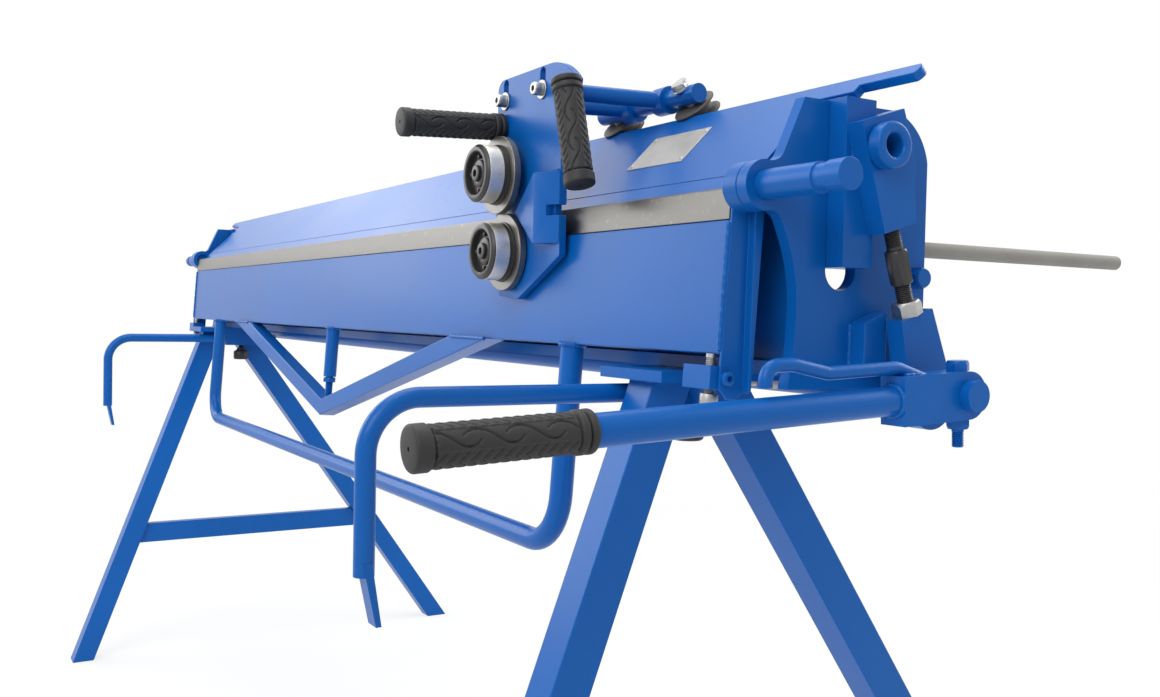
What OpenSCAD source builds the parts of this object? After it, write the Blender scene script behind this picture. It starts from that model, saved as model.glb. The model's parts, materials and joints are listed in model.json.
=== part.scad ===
// Roofing sheet metal brake on two trestles, with a roller cutter on the clamping beam.
// Lengths are in millimetres. Every piece is drawn from the fold line: X along it, Y to the rear, Z up.

/* [Fold line] */
// Length of the fold line
fold_len = 2000; // [1800:10:2400]
// Height of the fold line above the floor
fold_z = 890; // [860:5:940]

/* [Folding beam] */
// Height of the polished folding blade
blade_h = 27; // [20:1:40]
// Height of the folding plate under the blade
plate_h = 113; // [100:1:130]
// Thickness of the folding plate and blade
fold_t = 10; // [8:0.5:14]
// Lean of the folding beam, its foot to the front (degrees)
fold_lean = 3.7; // [0:0.1:6]
// Thickness of a folding arm
arm_t = 18; // [14:1:24]
// Depth of a folding arm from front to rear
arm_d = 32; // [26:1:40]
// Reach of a folding arm under the fold line
arm_drop = 178; // [170:1:190]
// Distance of the lift handle's uprights from the ends of the fold line
handle_inset = 248; // [220:1:400]
// Drop of the lift handle's grip bar under the fold line
handle_drop = 350; // [320:1:400]
// Radius of the lift handle's tube
handle_r = 12; // [10:0.5:15]
// Bend radius of the lift handle
handle_bend = 55; // [40:1:80]
// Half the span of the truss brace
brace_half_w = 525; // [400:1:600]
// Drop of the truss brace's apex under the fold line
brace_drop = 268; // [240:1:290]
// Side of the truss brace's square tube
brace_side = 25; // [20:1:30]

/* [Side plates] */
// Thickness of a side plate
side_t = 12; // [10:1:16]
// Radius of the hinge eyes
eye_r = 21; // [19:0.5:26]
// Radius of the hinge pins
pin_r = 12.5; // [10:0.5:14]
// Free length of a hinge pin outside its side plate
pin_out = 96; // [90:1:130]
// Height of a side plate's top above the fold line
side_top = 76; // [70:1:77]
// Depth of a side plate's foot under the fold line
side_foot = 168; // [160:1:175]
// Rear edge of a side plate behind the fold line
side_rear = 188; // [184:1:200]

/* [Clamping beam] */
// Thickness of the clamping beam's sloping plate
web_t = 9; // [8:0.5:10]
// Height of the sloping plate's top edge above the fold line
web_top = 99.5; // [95:0.5:104]
// Depth of the clamp bar from front to rear
clamp_bar_d = 139; // [130:1:145]
// Thickness of the clamp bar
clamp_bar_t = 14.7; // [12:0.1:18]
// Length of the tabs past the ends of the fold line
tab_len = 103; // [90:1:115]
// Width of a tongue from front to rear
tongue_w = 34; // [30:0.5:36]
// Reach of a tongue outside its side plate
tongue_out = 20; // [16:1:24]

/* [Clamp drive] */
// Throw of the eccentrics
throw_r = 9; // [7:0.5:10]
// Turn of the clamp lever from shut to open (degrees)
lever_swing = 90; // [80:1:96]
// Radius of the cross shaft
shaft_r = 13; // [11:0.5:14]
// Distance of the cross shaft behind the fold line
shaft_y = 152; // [148:1:158]
// Depth of the cross shaft under the fold line
shaft_drop = 169; // [166:1:174]
// Thickness of the links and yokes
link_t = 18; // [15:0.5:20]
// Distance from the shaft to the end of the lever's grip
lever_reach = 490; // [440:1:540]
// Droop of the shut lever, its grip lower (degrees)
lever_droop = 2.8; // [0:0.1:6]
// Radius of the lever's tube
lever_r = 12; // [10:0.5:14]
// Radius of the rubber grips
grip_r = 15.5; // [14:0.5:18]
// Length of the rubber grips
grip_len = 130; // [110:1:140]

/* [Lower beam] */
// Depth of the lower beam under the fold line
beam_h = 157; // [150:1:162]
// Rear edge of the table behind the fold line
table_d = 150; // [145:1:160]
// Plate thickness of the lower beam
beam_t = 12; // [8:0.5:14]
// Reach of the rear rods behind the fold line
rod_reach = 525; // [420:1:550]
// Radius of the rear rods
rear_rod_r = 7.5; // [6:0.5:9]

/* [Trestles] */
// Distance of each trestle from its end of the fold line
trestle_inset = 107; // [100:1:220]
// Side of the square leg tubes
leg_side = 40; // [35:1:45]
// Wall of the square leg tubes
leg_wall = 3; // [2:0.5:5]
// Distance of the front feet in front of the fold line
front_foot = 271; // [240:1:300]
// Distance of the rear feet behind the fold line
rear_foot = 564; // [550:1:620]
// Height of the crossbars above the floor
crossbar_z = 270; // [200:5:350]
// Radius of the hook arms
hook_r = 9; // [8:0.5:11]
// Reach of the right hook arm in front of the fold line
hook_reach_right = 274; // [240:1:300]
// Reach of the left hook arm in front of the fold line
hook_reach_left = 228; // [200:1:280]
// Length of a hook arm's sliding bar behind its bend
hook_bar = 362; // [340:1:362]
// Drop of a hook arm's tip under its bar
hook_drop = 190; // [150:1:200]

/* [Roller cutter] */
// Distance of the knives from the right end of the fold line
knife_inset = 369; // [360:1:600]
// Radius of the cutting flanges
knife_r = 42.6; // [40:0.1:44]
// Overlap of the two cutting flanges
knife_lap = 1.2; // [0.6:0.1:2]
// Radius of the knives' collars
collar_r = 31.5; // [28:0.5:34]
// Thickness of the cutter's plate
cutter_t = 8; // [6:0.5:10]
// Distance from the fold line to the back of the cutter's plate
cutter_gap = 18; // [18:0.5:22]
// Outer radius of the guide pulleys
pulley_r = 24; // [22:0.5:26]

/* [Hidden] */
$fn = 48;

paint = "#1f5fae";
steel = "#c9ccd0";
dark_steel = "#55585c";
rubber = "#2b2d2f";

// Clearances
run_gap = 0.05;
slide_gap = 0.3;
face_gap = 1;

// Ends of the fold line, arms, side plates, tongues and links along X
half_len = fold_len/2;
handle_half_w = half_len - handle_inset;
arm_x = half_len + arm_t;
side_x0 = arm_x + face_gap;
side_x1 = side_x0 + side_t;
tongue_x = side_x1 + tongue_out;
link_x0 = tongue_x + face_gap;
link_x1 = link_x0 + link_t;
shaft_left_end = link_x1 + 4;
hub_w = 26;
hub_x0 = link_x1 + 20;
hub_x1 = hub_x0 + hub_w;
shaft_right_end = hub_x1 + 9;
lever_x = (hub_x0 + hub_x1)/2;

// Clamp drive: the journals go from 45 degrees below to 45 degrees above the shaft as the lever opens
link_pin_y = 91;
link_pin_z = 35;
journal_r = 15;
journal_y = shaft_y + throw_r*cos(lever_swing/2);
journal_z = -shaft_drop - throw_r*sin(lever_swing/2);
yoke_play = throw_r*(1 - cos(lever_swing/2));
yoke_gap = 0.45;
yoke_y = journal_y + yoke_play/2;
drive_len = norm([yoke_y - link_pin_y, link_pin_z - journal_z]);
drive_lean = atan2(yoke_y - link_pin_y, link_pin_z - journal_z);
link_len = 70;
rod_end = 150;
rod_r = 7;
nut_h = 13;
nut_r = 13;
yoke_top = 146;
link_pin_r = 12;
link_pin_in = 18;
link_head_r = 19.5;
link_head_t = 15;
link_socket_r = 9.5;

// Trestles: legs run from the floor to the underside of the trestle heads
head_t = 10;
leg_top = -beam_h - head_t;
floor_z = -fold_z;
front_leg_top_y = -2;
rear_leg_top_y = 57;
front_lean = atan2(front_leg_top_y + front_foot, leg_top - floor_z);
rear_lean = atan2(rear_foot - rear_leg_top_y, leg_top - floor_z);
hook_z = leg_top - 15;
sleeve_side = 30;
trestle_x = fold_len/2 - trestle_inset;
hook_x = trestle_x - leg_side/2 - sleeve_side/2;

// Reach of the whole machine in front of and behind the fold line, which centres its frame
front_reach = lever_reach*cos(lever_droop) + grip_r*sin(lever_droop) - shaft_y;
rear_reach = rear_foot + leg_side/2/cos(rear_lean);
mid_y = (rear_reach - front_reach)/2;

// The clamping beam's plate slopes back at 45 degrees from a nose just behind the fold line
nose_y = 1;
face_off = nose_y - slide_gap;
web_top_y = web_top + face_off;

// Roller cutter: the pulleys straddle the top edge of the clamping beam's plate
knife_x = fold_len/2 - knife_inset;
plate_back = -cutter_gap;
plate_front = plate_back - cutter_t;
knife_dz = knife_r - knife_lap/2;
knife_t = 8;
knife_axle_r = 10;
collar_len = 27;
lower_knife_y = plate_front - 1.7;
upper_knife_y = lower_knife_y - knife_t - slide_gap;
rim_t = 4.2;
pulley_half_w = web_t/2 + slide_gap + rim_t;
groove_r = 17;
pulley_s = groove_r + slide_gap;
pulley_axle_r = 6;
pulley_bore_r = pulley_axle_r + run_gap;
pulley_y = web_top_y + (pulley_s + web_t/2)/sqrt(2);
pulley_z = web_top + (pulley_s - web_t/2)/sqrt(2);
bar_r = 10;
bar_off = pulley_half_w + face_gap + bar_r;
bar_y = pulley_y - bar_off/sqrt(2);
bar_z = pulley_z + bar_off/sqrt(2);
left_pulley_off = 10;
right_pulley_off = 151;
arm_bolt_offs = [-16, 68];
arm_eye_offs = [49, 112];
left_pulley_x = knife_x + left_pulley_off;
right_pulley_x = knife_x + right_pulley_off;
arm_bolt_xs = [knife_x + arm_bolt_offs[0], knife_x + arm_bolt_offs[1]];
arm_eye_xs = [knife_x + arm_eye_offs[0], knife_x + arm_eye_offs[1]];
arm_bolt_z = 127;
guide_arm_r = 9;
eye_w = 20;

// Moves the fold line to its place over the floor, with the machine centred from front to rear
module place() {
  translate([0, -mid_y, fold_z]) children();
}

// A piece at the right end and its mirror image at the left
module both_ends() {
  children();
  mirror([1, 0, 0]) children();
}

// A profile in Y and Z, drawn out along X
module profile_x(x0, x1) {
  translate([x0, 0, 0]) rotate([90, 0, 90]) linear_extrude(x1 - x0) children();
}

module block(lo, hi) {
  translate(lo) cube(hi - lo);
}

module rod_x(x0, x1, y, z, r) {
  translate([x0, y, z]) rotate([0, 90, 0]) cylinder(h = x1 - x0, r = r);
}

module rod_y(y0, y1, x, z, r) {
  translate([x, y0, z]) rotate([-90, 0, 0]) cylinder(h = y1 - y0, r = r);
}

module rod_z(z0, z1, x, y, r) {
  translate([x, y, z0]) cylinder(h = z1 - z0, r = r);
}

module rod_between(p, q, r) {
  v = q - p;
  len = norm(v);
  translate(p) rotate([0, acos(v.z/len), atan2(v.y, v.x)]) cylinder(h = len, r = r);
}

// A quarter bend in the plane of the first two axes, from the X axis to the Y axis
module quarter_bend(bend, r) {
  rotate_extrude(angle = 90) translate([bend, 0]) circle(r = r);
}

// Lower beam, a channel open to the rear
web_front = 50;
flange_front = 30;
flange_rear = 128;
table_blade_d = 40;
table_blade_h = 18;
module lower_beam() color(paint) place() difference() {
  profile_x(-side_x0, side_x0) polygon([
    [table_blade_d, 0], [table_d, 0], [table_d, -beam_t], [web_front + beam_t, -beam_t],
    [web_front + beam_t, -beam_h + beam_t], [flange_rear, -beam_h + beam_t], [flange_rear, -beam_h],
    [flange_front, -beam_h], [flange_front, -beam_h + beam_t], [web_front, -beam_h + beam_t],
    [web_front, -table_blade_h], [table_blade_d, -table_blade_h]
  ]);
  both_ends() for (x = bolt_xs)
    rod_z(-beam_h - 1, -beam_h + beam_t + 1, x, trestle_bolt_y, trestle_bolt_r + run_gap);
}

module table_blade() color(steel) place() {
  block([-half_len + face_gap, 0.5, -table_blade_h], [half_len - face_gap, table_blade_d, 0]);
}

// Side plate with its hinge eye, the tongue's slot and a lug for the cross shaft
top_front = 40;
neck = [20, 32];
waist_y = 36.5;
waist_z = -98;
waist_up = 36;
waist_n = 14;
waist_k_up = 0.00377;
waist_k_down = 0.00163;
fillet_up = 14;
fillet_down = 12;
fillet_n = 7;
rear_round = 54;
rear_centre = 53;
rear_cut = 48;
lug_r = 27;
slot_y = 85;
slot_r = tongue_w/2 + slide_gap;
slot_bottom = 84;

// The front edge's waist at a height
function waist(z) = [waist_y - (z > waist_z ? waist_k_up : waist_k_down)*pow(z - waist_z, 2), z];

function unit(v) = v/norm(v);

function reversed(list) = [for (i = [len(list) - 1:-1:0]) list[i]];

// Points of a fillet from an edge through a, running along d, to just short of the hinge eye; n points outwards
function eye_fillet(a, d, n, r) =
  let (
    q = a + r*n,
    c = q - (q*d + sqrt(pow(q*d, 2) - q*q + pow(eye_r + r, 2)))*d,
    a0 = atan2(-n.y, -n.x),
    a1 = atan2(-c.y, -c.x)
  ) [for (i = [0:fillet_n - 1]) let (t = a0 + (a1 - a0)*i/fillet_n) c + r*[cos(t), sin(t)]];

module side_plate() difference() {
  corner = [top_front, side_top];
  down = unit(neck - corner);
  low = waist(-waist_up);
  up = unit(waist(1 - waist_up) - low);
  union() {
    profile_x(side_x0, side_x1) polygon([
      [0, 0], each reversed(eye_fillet(corner, down, [down.y, -down.x], fillet_up)), corner,
      [side_rear, side_top], [side_rear, -side_foot],
      each [for (i = [0:waist_n]) waist(-side_foot + i*(side_foot - waist_up)/waist_n)],
      each eye_fillet(low, up, [-up.y, up.x], fillet_down)
    ]);
    rod_x(side_x0, side_x1, 0, 0, eye_r);
    rod_x(side_x0, side_x1, shaft_y, -shaft_drop, lug_r);
  }
  difference() {
    block([side_x0 - 1, side_rear - rear_cut, side_top - rear_cut],
          [side_x1 + 1, side_rear + rear_cut, side_top + rear_cut]);
    rod_x(side_x0 - 2, side_x1 + 2, side_rear - rear_centre, side_top - rear_centre, rear_round);
  }
  rod_x(side_x0 - 1, side_x1 + 1, 0, 0, pin_r + run_gap);
  rod_x(side_x0 - 1, side_x1 + 1, shaft_y, -shaft_drop, shaft_r + run_gap);
  rod_x(side_x0 - 1, side_x1 + 1, clamp_screw_y, clamp_screw_z, clamp_screw_r + run_gap);
  rod_x(side_x0 - 1, side_x1 + 1, slot_y, -slot_bottom + slot_r, slot_r);
  block([side_x0 - 1, slot_y - slot_r, -slot_bottom + slot_r], [side_x1 + 1, slot_y + slot_r, side_top + 1]);
}

module side_plate_right() color(paint) place() side_plate();
module side_plate_left() color(paint) place() mirror([1, 0, 0]) side_plate();

// Hinge pin, fixed in its side plate, with a grooved head
pin_in = arm_t - 4;
groove_in = 31;
groove_out = 19;
groove_deep = 1.5;
module hinge_pins() color(paint) place() both_ends() {
  rod_x(side_x0 - pin_in, side_x1 + pin_out - groove_in, 0, 0, pin_r);
  rod_x(side_x1 + pin_out - groove_in, side_x1 + pin_out - groove_out, 0, 0, pin_r - groove_deep);
  rod_x(side_x1 + pin_out - groove_out, side_x1 + pin_out, 0, 0, pin_r);
}

// Gusset block on the outside of each side plate, in front of the cross shaft
gusset_y0 = 98;
gusset_y1 = 124;
gusset_top = 101;
gusset_foot = 150;
gusset_slope = 10;
gusset_gap = 3;
module shaft_gussets() color(paint) place() both_ends()
  profile_x(side_x1, link_x0 - gusset_gap) polygon([
    [gusset_y0, -gusset_foot], [gusset_y1, -gusset_foot], [gusset_y1, -gusset_top],
    [gusset_y0, -gusset_top - gusset_slope]
  ]);

// Trestles
head_front = 37;
head_rear = 112;
bolt_pitch = 38;
head_edge = 12;
head_w_in = bolt_pitch + head_edge;
module trestle_heads() color(paint) place() both_ends() difference() {
  block([trestle_x - head_w_in, -head_front, leg_top], [trestle_x + head_w_in, head_rear, -beam_h]);
  for (x = bolt_xs) rod_z(leg_top - 1, -beam_h + 1, x, trestle_bolt_y, trestle_bolt_r + run_gap);
}

// A square tube in the plane of Y and Z, cut level at both ends
module leg(foot_y, top_y, lean, wall) {
  half = (leg_side/2 - wall)/cos(lean);
  y0 = foot_y + (top_y - foot_y)*wall/(leg_top - floor_z);
  profile_x(trestle_x - leg_side/2 + wall, trestle_x + leg_side/2 - wall) polygon([
    [y0 - half, floor_z + wall], [y0 + half, floor_z + wall], [top_y + half, leg_top], [top_y - half, leg_top]
  ]);
}

// The tube's foot is closed and its top is shut by the trestle head
module hollow_leg(foot_y, top_y, lean) difference() {
  leg(foot_y, top_y, lean, 0);
  leg(foot_y, top_y, lean, leg_wall);
}

module front_legs() color(paint) place() both_ends() hollow_leg(-front_foot, front_leg_top_y, front_lean);
module rear_legs() color(paint) place() both_ends() hollow_leg(rear_foot, rear_leg_top_y, rear_lean);

crossbar_w = 20;
crossbar_h = 42;
module leg_crossbars() color(paint) place() both_ends() {
  z0 = floor_z + crossbar_z - crossbar_h/2;
  z1 = floor_z + crossbar_z + crossbar_h/2;
  front_edge = -front_foot + leg_side/2/cos(front_lean);
  rear_edge = rear_foot - leg_side/2/cos(rear_lean);
  profile_x(trestle_x - crossbar_w/2, trestle_x + crossbar_w/2) polygon([
    [front_edge + (z0 - floor_z)*tan(front_lean), z0], [rear_edge - (z0 - floor_z)*tan(rear_lean), z0],
    [rear_edge - (z1 - floor_z)*tan(rear_lean), z1], [front_edge + (z1 - floor_z)*tan(front_lean), z1]
  ]);
}

// Bolts that hold the lower beam on the trestle heads
trestle_bolt_r = 6;
trestle_bolt_y = 100;
trestle_head_r = 11;
trestle_head_h = 8;
bolt_xs = [trestle_x, trestle_x + bolt_pitch];
module trestle_bolts() color(steel) place() both_ends() for (x = bolt_xs) {
  rod_z(leg_top, -beam_h + beam_t, x, trestle_bolt_y, trestle_bolt_r);
  translate([x, trestle_bolt_y, leg_top - trestle_head_h])
    cylinder(h = trestle_head_h, r = trestle_head_r, $fn = 6);
}

// Rear rods in clamps on the inside of the side plates, each clamp held by a screw through its side plate
rod_x_in = 24;
rod_z_at = -41;
clamp_y0 = 150;
clamp_y1 = 200;
clamp_w = 39;
clamp_high = 20;
clamp_low = 85;
clamp_screw_y = 178;
clamp_screw_z = -70;
clamp_screw_r = 6;
clamp_screw_in = 20;
clamp_head_r = 9.8;
clamp_head_h = 10;
module rear_rods() color("#8d8f8c") place() both_ends()
  rod_y(web_front + beam_t, rod_reach, side_x0 - rod_x_in, rod_z_at, rear_rod_r);

module rod_clamps() color(paint) place() both_ends() difference() {
  block([side_x0 - clamp_w, clamp_y0, -clamp_low], [side_x0, clamp_y1, -clamp_high]);
  rod_y(clamp_y0 - 1, clamp_y1 + 1, side_x0 - rod_x_in, rod_z_at, rear_rod_r + run_gap);
  rod_x(side_x0 - clamp_screw_in, side_x0 + 1, clamp_screw_y, clamp_screw_z, clamp_screw_r + run_gap);
}

module rod_clamp_screws() color(paint) place() both_ends() {
  rod_x(side_x0 - clamp_screw_in, side_x1, clamp_screw_y, clamp_screw_z, clamp_screw_r);
  translate([side_x1, clamp_screw_y, clamp_screw_z]) rotate([0, 90, 0])
    cylinder(h = clamp_head_h, r = clamp_head_r, $fn = 6);
}

// Sleeves under the trestle heads, in which the hook arms slide
sleeve_y0 = 20;
sleeve_y1 = 86;
knob_y = 56;
knob_screw_r = 5;
module arm_sleeves() color(paint) place() both_ends() difference() {
  block([hook_x - sleeve_side/2, sleeve_y0, leg_top - sleeve_side],
        [hook_x + sleeve_side/2, sleeve_y1, leg_top]);
  rod_y(sleeve_y0 - 1, sleeve_y1 + 1, hook_x, hook_z, hook_r + run_gap);
  rod_z(leg_top - sleeve_side - 1, hook_z, hook_x, knob_y, knob_screw_r + run_gap);
}

// Hook arm, a round bar that bends down and ends in a flat tip
hook_bend = 48;
tip_len = 42;
module hook_arm(reach) {
  tip_z = hook_z - hook_drop;
  rod_y(-reach + hook_bend, -reach + hook_bar, hook_x, hook_z, hook_r);
  translate([hook_x, -reach + hook_bend, hook_z - hook_bend])
    rotate([90, 0, -90]) quarter_bend(hook_bend, hook_r);
  rod_z(tip_z + tip_len, hook_z - hook_bend, hook_x, -reach, hook_r);
  profile_x(hook_x - hook_r, hook_x + hook_r) polygon([
    [-reach - 4, tip_z + tip_len + 12], [-reach + 4, tip_z + tip_len + 12], [-reach + 13, tip_z],
    [-reach + 8, tip_z]
  ]);
}

module hook_arm_right() color(paint) place() hook_arm(hook_reach_right);
module hook_arm_left() color(paint) place() mirror([1, 0, 0]) hook_arm(hook_reach_left);

// Locking knob with its screw, under a sleeve
knob_r = 16;
knob_h = 27;
knob_neck_r = 8;
knob_gap = 6;
module knob() {
  top = leg_top - sleeve_side - knob_gap;
  rod_z(top, hook_z - hook_r - slide_gap, hook_x, knob_y, knob_screw_r);
  translate([hook_x, knob_y, top - knob_h]) rotate_extrude() polygon([
    [0, 0], [knob_r - 3, 0], [knob_r, 3], [knob_r, knob_h - 9], [knob_r - 4, knob_h - 6],
    [knob_neck_r, knob_h], [0, knob_h]
  ]);
}

module knob_right() color(rubber) place() knob();
module knob_left() color(rubber) place() mirror([1, 0, 0]) knob();

// Clamping beam: a sloping plate with a shouldered tab at each end, a sharp clamp bar and a stiffener
tab_h = 13;
shoulder_x = side_x1 + 10;
shoulder_h = 22;
end_x = half_len - face_gap;
tab_round = 8;
clamp_top = slide_gap + clamp_bar_t;

// Frame on the sloping plate's top front edge: Y up the slope, Z out of its front face
module on_slope() {
  translate([0, web_top_y, web_top]) rotate([45, 0, 0]) children();
}

module upper_plate() color(paint) place() difference() {
  profile_x(-half_len - tab_len, half_len + tab_len) polygon([
    [clamp_top + face_off, clamp_top], [clamp_top + face_off + web_t*sqrt(2), clamp_top],
    [web_top_y + web_t/sqrt(2), web_top - web_t/sqrt(2)], [web_top_y, web_top]
  ]);
  both_ends() on_slope() {
    block([end_x, -2*web_top, -2*web_t], [half_len + tab_len + 1, -shoulder_h, web_t]);
    block([shoulder_x, -shoulder_h - 1, -2*web_t], [half_len + tab_len + 1, -tab_h, web_t]);
    difference() {
      block([half_len + tab_len - tab_round, -tab_h - 1, -web_t - 1], [half_len + tab_len + 1, 1, 1]);
      rod_z(-web_t - 2, 2, half_len + tab_len - tab_round, -tab_h/2, tab_round);
    }
  }
}

module clamp_bar() color(paint) place() profile_x(-end_x, end_x) polygon([
  [nose_y, slide_gap], [nose_y + clamp_bar_d, slide_gap], [nose_y + clamp_bar_d, clamp_top],
  [clamp_top + face_off, clamp_top]
]);

stiff_top = 62;
stiff_w = 12;
back_off = face_off + web_t*sqrt(2);
module upper_stiffener() color(paint) place() profile_x(-end_x, end_x) polygon([
  [stiff_top + back_off, stiff_top], [stiff_top - stiff_w + back_off, stiff_top - stiff_w],
  [clamp_bar_d - 2 - stiff_w, clamp_top], [clamp_bar_d - 2, clamp_top]
]);

// Tongues: end bars of the clamping beam that slide in the side plates' slots
tongue_foot = 65;
tongue_top = side_top + face_gap;
module end_tongues() color(paint) place() both_ends() difference() {
  block([end_x, slot_y - tongue_w/2, -tongue_foot], [tongue_x, slot_y + tongue_w/2, tongue_top]);
  block([end_x - 1, slot_y - tongue_w/2 - 1, -tongue_foot - 1],
        [side_x0 + slide_gap, slot_y + tongue_w/2 + 1, slide_gap]);
  rod_x(tongue_x - link_pin_in, tongue_x + 1, link_pin_y, link_pin_z, link_pin_r + run_gap);
}

// Clamp drive, drawn down the line from the link pin to the eccentric
module drive_line() {
  translate([0, link_pin_y, link_pin_z]) rotate([drive_lean, 0, 0]) children();
}

link_front = 17;
link_rear = 33;
link_up = 25;
link_foot = 21;
link_waist = -10;
rod_in = 22;
drive_x = (link_x0 + link_x1)/2;
module clamp_links() color(paint) place() both_ends() drive_line() difference() {
  profile_x(tongue_x, link_x1) polygon([
    [-link_front, link_up], [link_rear, link_up], [link_rear + 2, link_waist], [link_foot, -link_len],
    [-link_front, -link_len]
  ]);
  rod_x(tongue_x - 1, link_x1 + 1, 0, 0, link_pin_r + run_gap);
  rod_z(-link_len - 1, -link_len + rod_in, drive_x, 0, rod_r + run_gap);
}

link_socket_in = 8;
module link_pins() color(paint) place() both_ends() difference() {
  union() {
    rod_x(tongue_x - link_pin_in, link_x1, link_pin_y, link_pin_z, link_pin_r);
    rod_x(link_x1, link_x1 + link_head_t, link_pin_y, link_pin_z, link_head_r);
  }
  rod_x(link_x1 - link_socket_in, link_x1 + link_head_t + 1, link_pin_y, link_pin_z, link_socket_r);
}

rod_foot = -rod_end - 14;
coupling_z = -link_len - 48;
coupling_h = 30;
coupling_r = 10.5;
module tension_rods() color(rubber) place() both_ends() drive_line() {
  rod_z(rod_foot, -link_len + rod_in, drive_x, 0, rod_r);
  translate([drive_x, 0, coupling_z]) cylinder(h = coupling_h, r = coupling_r, $fn = 6);
}

module rod_nuts() color(steel) place() both_ends() drive_line()
  translate([drive_x, 0, -yoke_top]) difference() {
    cylinder(h = nut_h, r = nut_r, $fn = 6);
    translate([0, 0, -1]) cylinder(h = nut_h + 2, r = rod_r + run_gap);
  }

// Yoke round the eccentric, with a level slot that lets the journal swing
yoke_r = 27;
yoke_front = 18;
yoke_rear = 21;
module yokes() color(paint) place() both_ends() difference() {
  profile_x(link_x0, link_x1) difference() {
    union() {
      translate([link_pin_y, link_pin_z]) rotate(drive_lean) polygon([
        [-yoke_front, -yoke_top], [yoke_rear, -yoke_top], [yoke_r, -drive_len], [-yoke_r, -drive_len]
      ]);
      translate([yoke_y, journal_z]) circle(r = yoke_r);
    }
    for (s = [-1, 1]) translate([yoke_y + s*yoke_play/2, journal_z]) circle(r = journal_r + yoke_gap);
    translate([yoke_y - yoke_play/2, journal_z - journal_r - yoke_gap])
      square([yoke_play, 2*(journal_r + yoke_gap)]);
  }
  drive_line() rod_z(rod_foot, -yoke_top + 1, drive_x, 0, rod_r + run_gap);
}

// Bare nameplate on the sloping plate
label_inset = 191;
label_x = half_len - label_inset;
label_s = 57;
label_half_w = 48;
label_half_h = 26;
label_t = 0.8;
module nameplate() color(steel) place() on_slope()
  block([label_x - label_half_w, -label_s - label_half_h, 0],
    [label_x + label_half_w, -label_s + label_half_h, label_t]);

// Folding beam, drawn upright and then leaned about the fold line
module folded() {
  place() rotate([-fold_lean, 0, 0]) children();
}

fold_top = -0.5;
fold_back = -0.3;
blade_proud = 0.8;
blade_break = 2;
plate_foot = fold_top - blade_h - plate_h;
module fold_blade() color(steel) folded() profile_x(-half_len, half_len) polygon([
  [fold_back, fold_top], [-fold_t, fold_top], [-fold_t - blade_proud, fold_top - blade_break],
  [-fold_t - blade_proud, fold_top - blade_h], [fold_back, fold_top - blade_h]
]);

module fold_plate() color(paint) folded()
  block([-half_len, -fold_t, plate_foot], [half_len, fold_back, fold_top - blade_h]);

// Folding arms: a knuckle on the hinge pin, a thin plate on the beam's end and an upright rib behind it
arm_rear = arm_d - fold_t - 4;
arm_plate_t = 3;
rib_t = 11;
rib_top = 7.6;
rib_foot = 15;
foot_cut = 9;
knuckle_low = -8;
module fold_arms() color(paint) folded() both_ends() difference() {
  union() {
    rod_x(half_len, arm_x, 0, 0, eye_r);
    profile_x(half_len, half_len + arm_plate_t) polygon([
      [-fold_t, knuckle_low], [arm_rear, knuckle_low], [arm_rear, -arm_drop + foot_cut],
      [arm_rear - foot_cut, -arm_drop],
      [-fold_t + foot_cut, -arm_drop], [-fold_t, -arm_drop + foot_cut]
    ]);
    profile_x(half_len, half_len + rib_t) polygon([
      [rib_top, knuckle_low], [arm_rear, knuckle_low], [arm_rear, -arm_drop + foot_cut],
      [rib_foot, -arm_drop + foot_cut - 3]
    ]);
  }
  rod_x(half_len - 1, arm_x + 1, 0, 0, pin_r + run_gap);
}

// Adjusting blocks on the arms, whose screws bear on the folding plate from below
adjust_y = -6;
adjust_x = half_len - 15;
adjust_r = 5;
adjust_top = plate_foot - 10;
adjust_len = 38;
adjust_half_w = 12;
adjust_h = 20;
adjust_head_gap = 4;
adjust_head_h = 10;
adjust_head_r = 8;
block_screw_r = 6;
block_screw_h = 6;
module adjust_blocks() color(paint) folded() both_ends() difference() {
  block([half_len - adjust_len, adjust_y - adjust_half_w, adjust_top - adjust_h],
        [half_len, adjust_y + adjust_half_w, adjust_top]);
  rod_z(adjust_top - adjust_h - 1, adjust_top + 1, adjust_x, adjust_y, adjust_r + run_gap);
}

module adjust_screws() color(steel) folded() both_ends() {
  head_top = adjust_top - adjust_h - adjust_head_gap;
  rod_z(head_top, plate_foot, adjust_x, adjust_y, adjust_r);
  rod_z(head_top - adjust_head_h, head_top, adjust_x, adjust_y, adjust_head_r);
}

module block_screws() color(paint) folded() both_ends() {
  seat = half_len + arm_plate_t;
  rod_x(seat, seat + block_screw_h, adjust_y + 2, adjust_top - adjust_h/2, block_screw_r);
}

// Lift handle and truss brace under the folding plate
mid_fold_y = -fold_t/2;
brace_wall = 3;
module handle_path(r) {
  for (s = [-1, 1]) {
    rod_z(-handle_drop + handle_bend, plate_foot, s*handle_half_w, mid_fold_y, r);
    translate([s*(handle_half_w - handle_bend), mid_fold_y, -handle_drop + handle_bend])
      rotate([-90, 0, 0]) rotate(s > 0 ? 0 : 90) quarter_bend(handle_bend, r);
  }
  rod_x(-handle_half_w + handle_bend, handle_half_w - handle_bend, mid_fold_y, -handle_drop, r);
}

module lift_handle() color(paint) folded() handle_path(handle_r);

module brace_shape(side, depth) {
  rise = brace_drop + plate_foot;
  slope = atan2(rise, brace_half_w);
  half_x = side/2/sin(slope);
  half_z = side/2/cos(slope);
  translate([0, mid_fold_y + depth/2, 0]) rotate([90, 0, 0]) linear_extrude(depth) polygon([
    [-brace_half_w - half_x, plate_foot], [0, -brace_drop - half_z], [brace_half_w + half_x, plate_foot],
    [brace_half_w - half_x, plate_foot], [0, -brace_drop + half_z], [-brace_half_w + half_x, plate_foot]
  ]);
}

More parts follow.
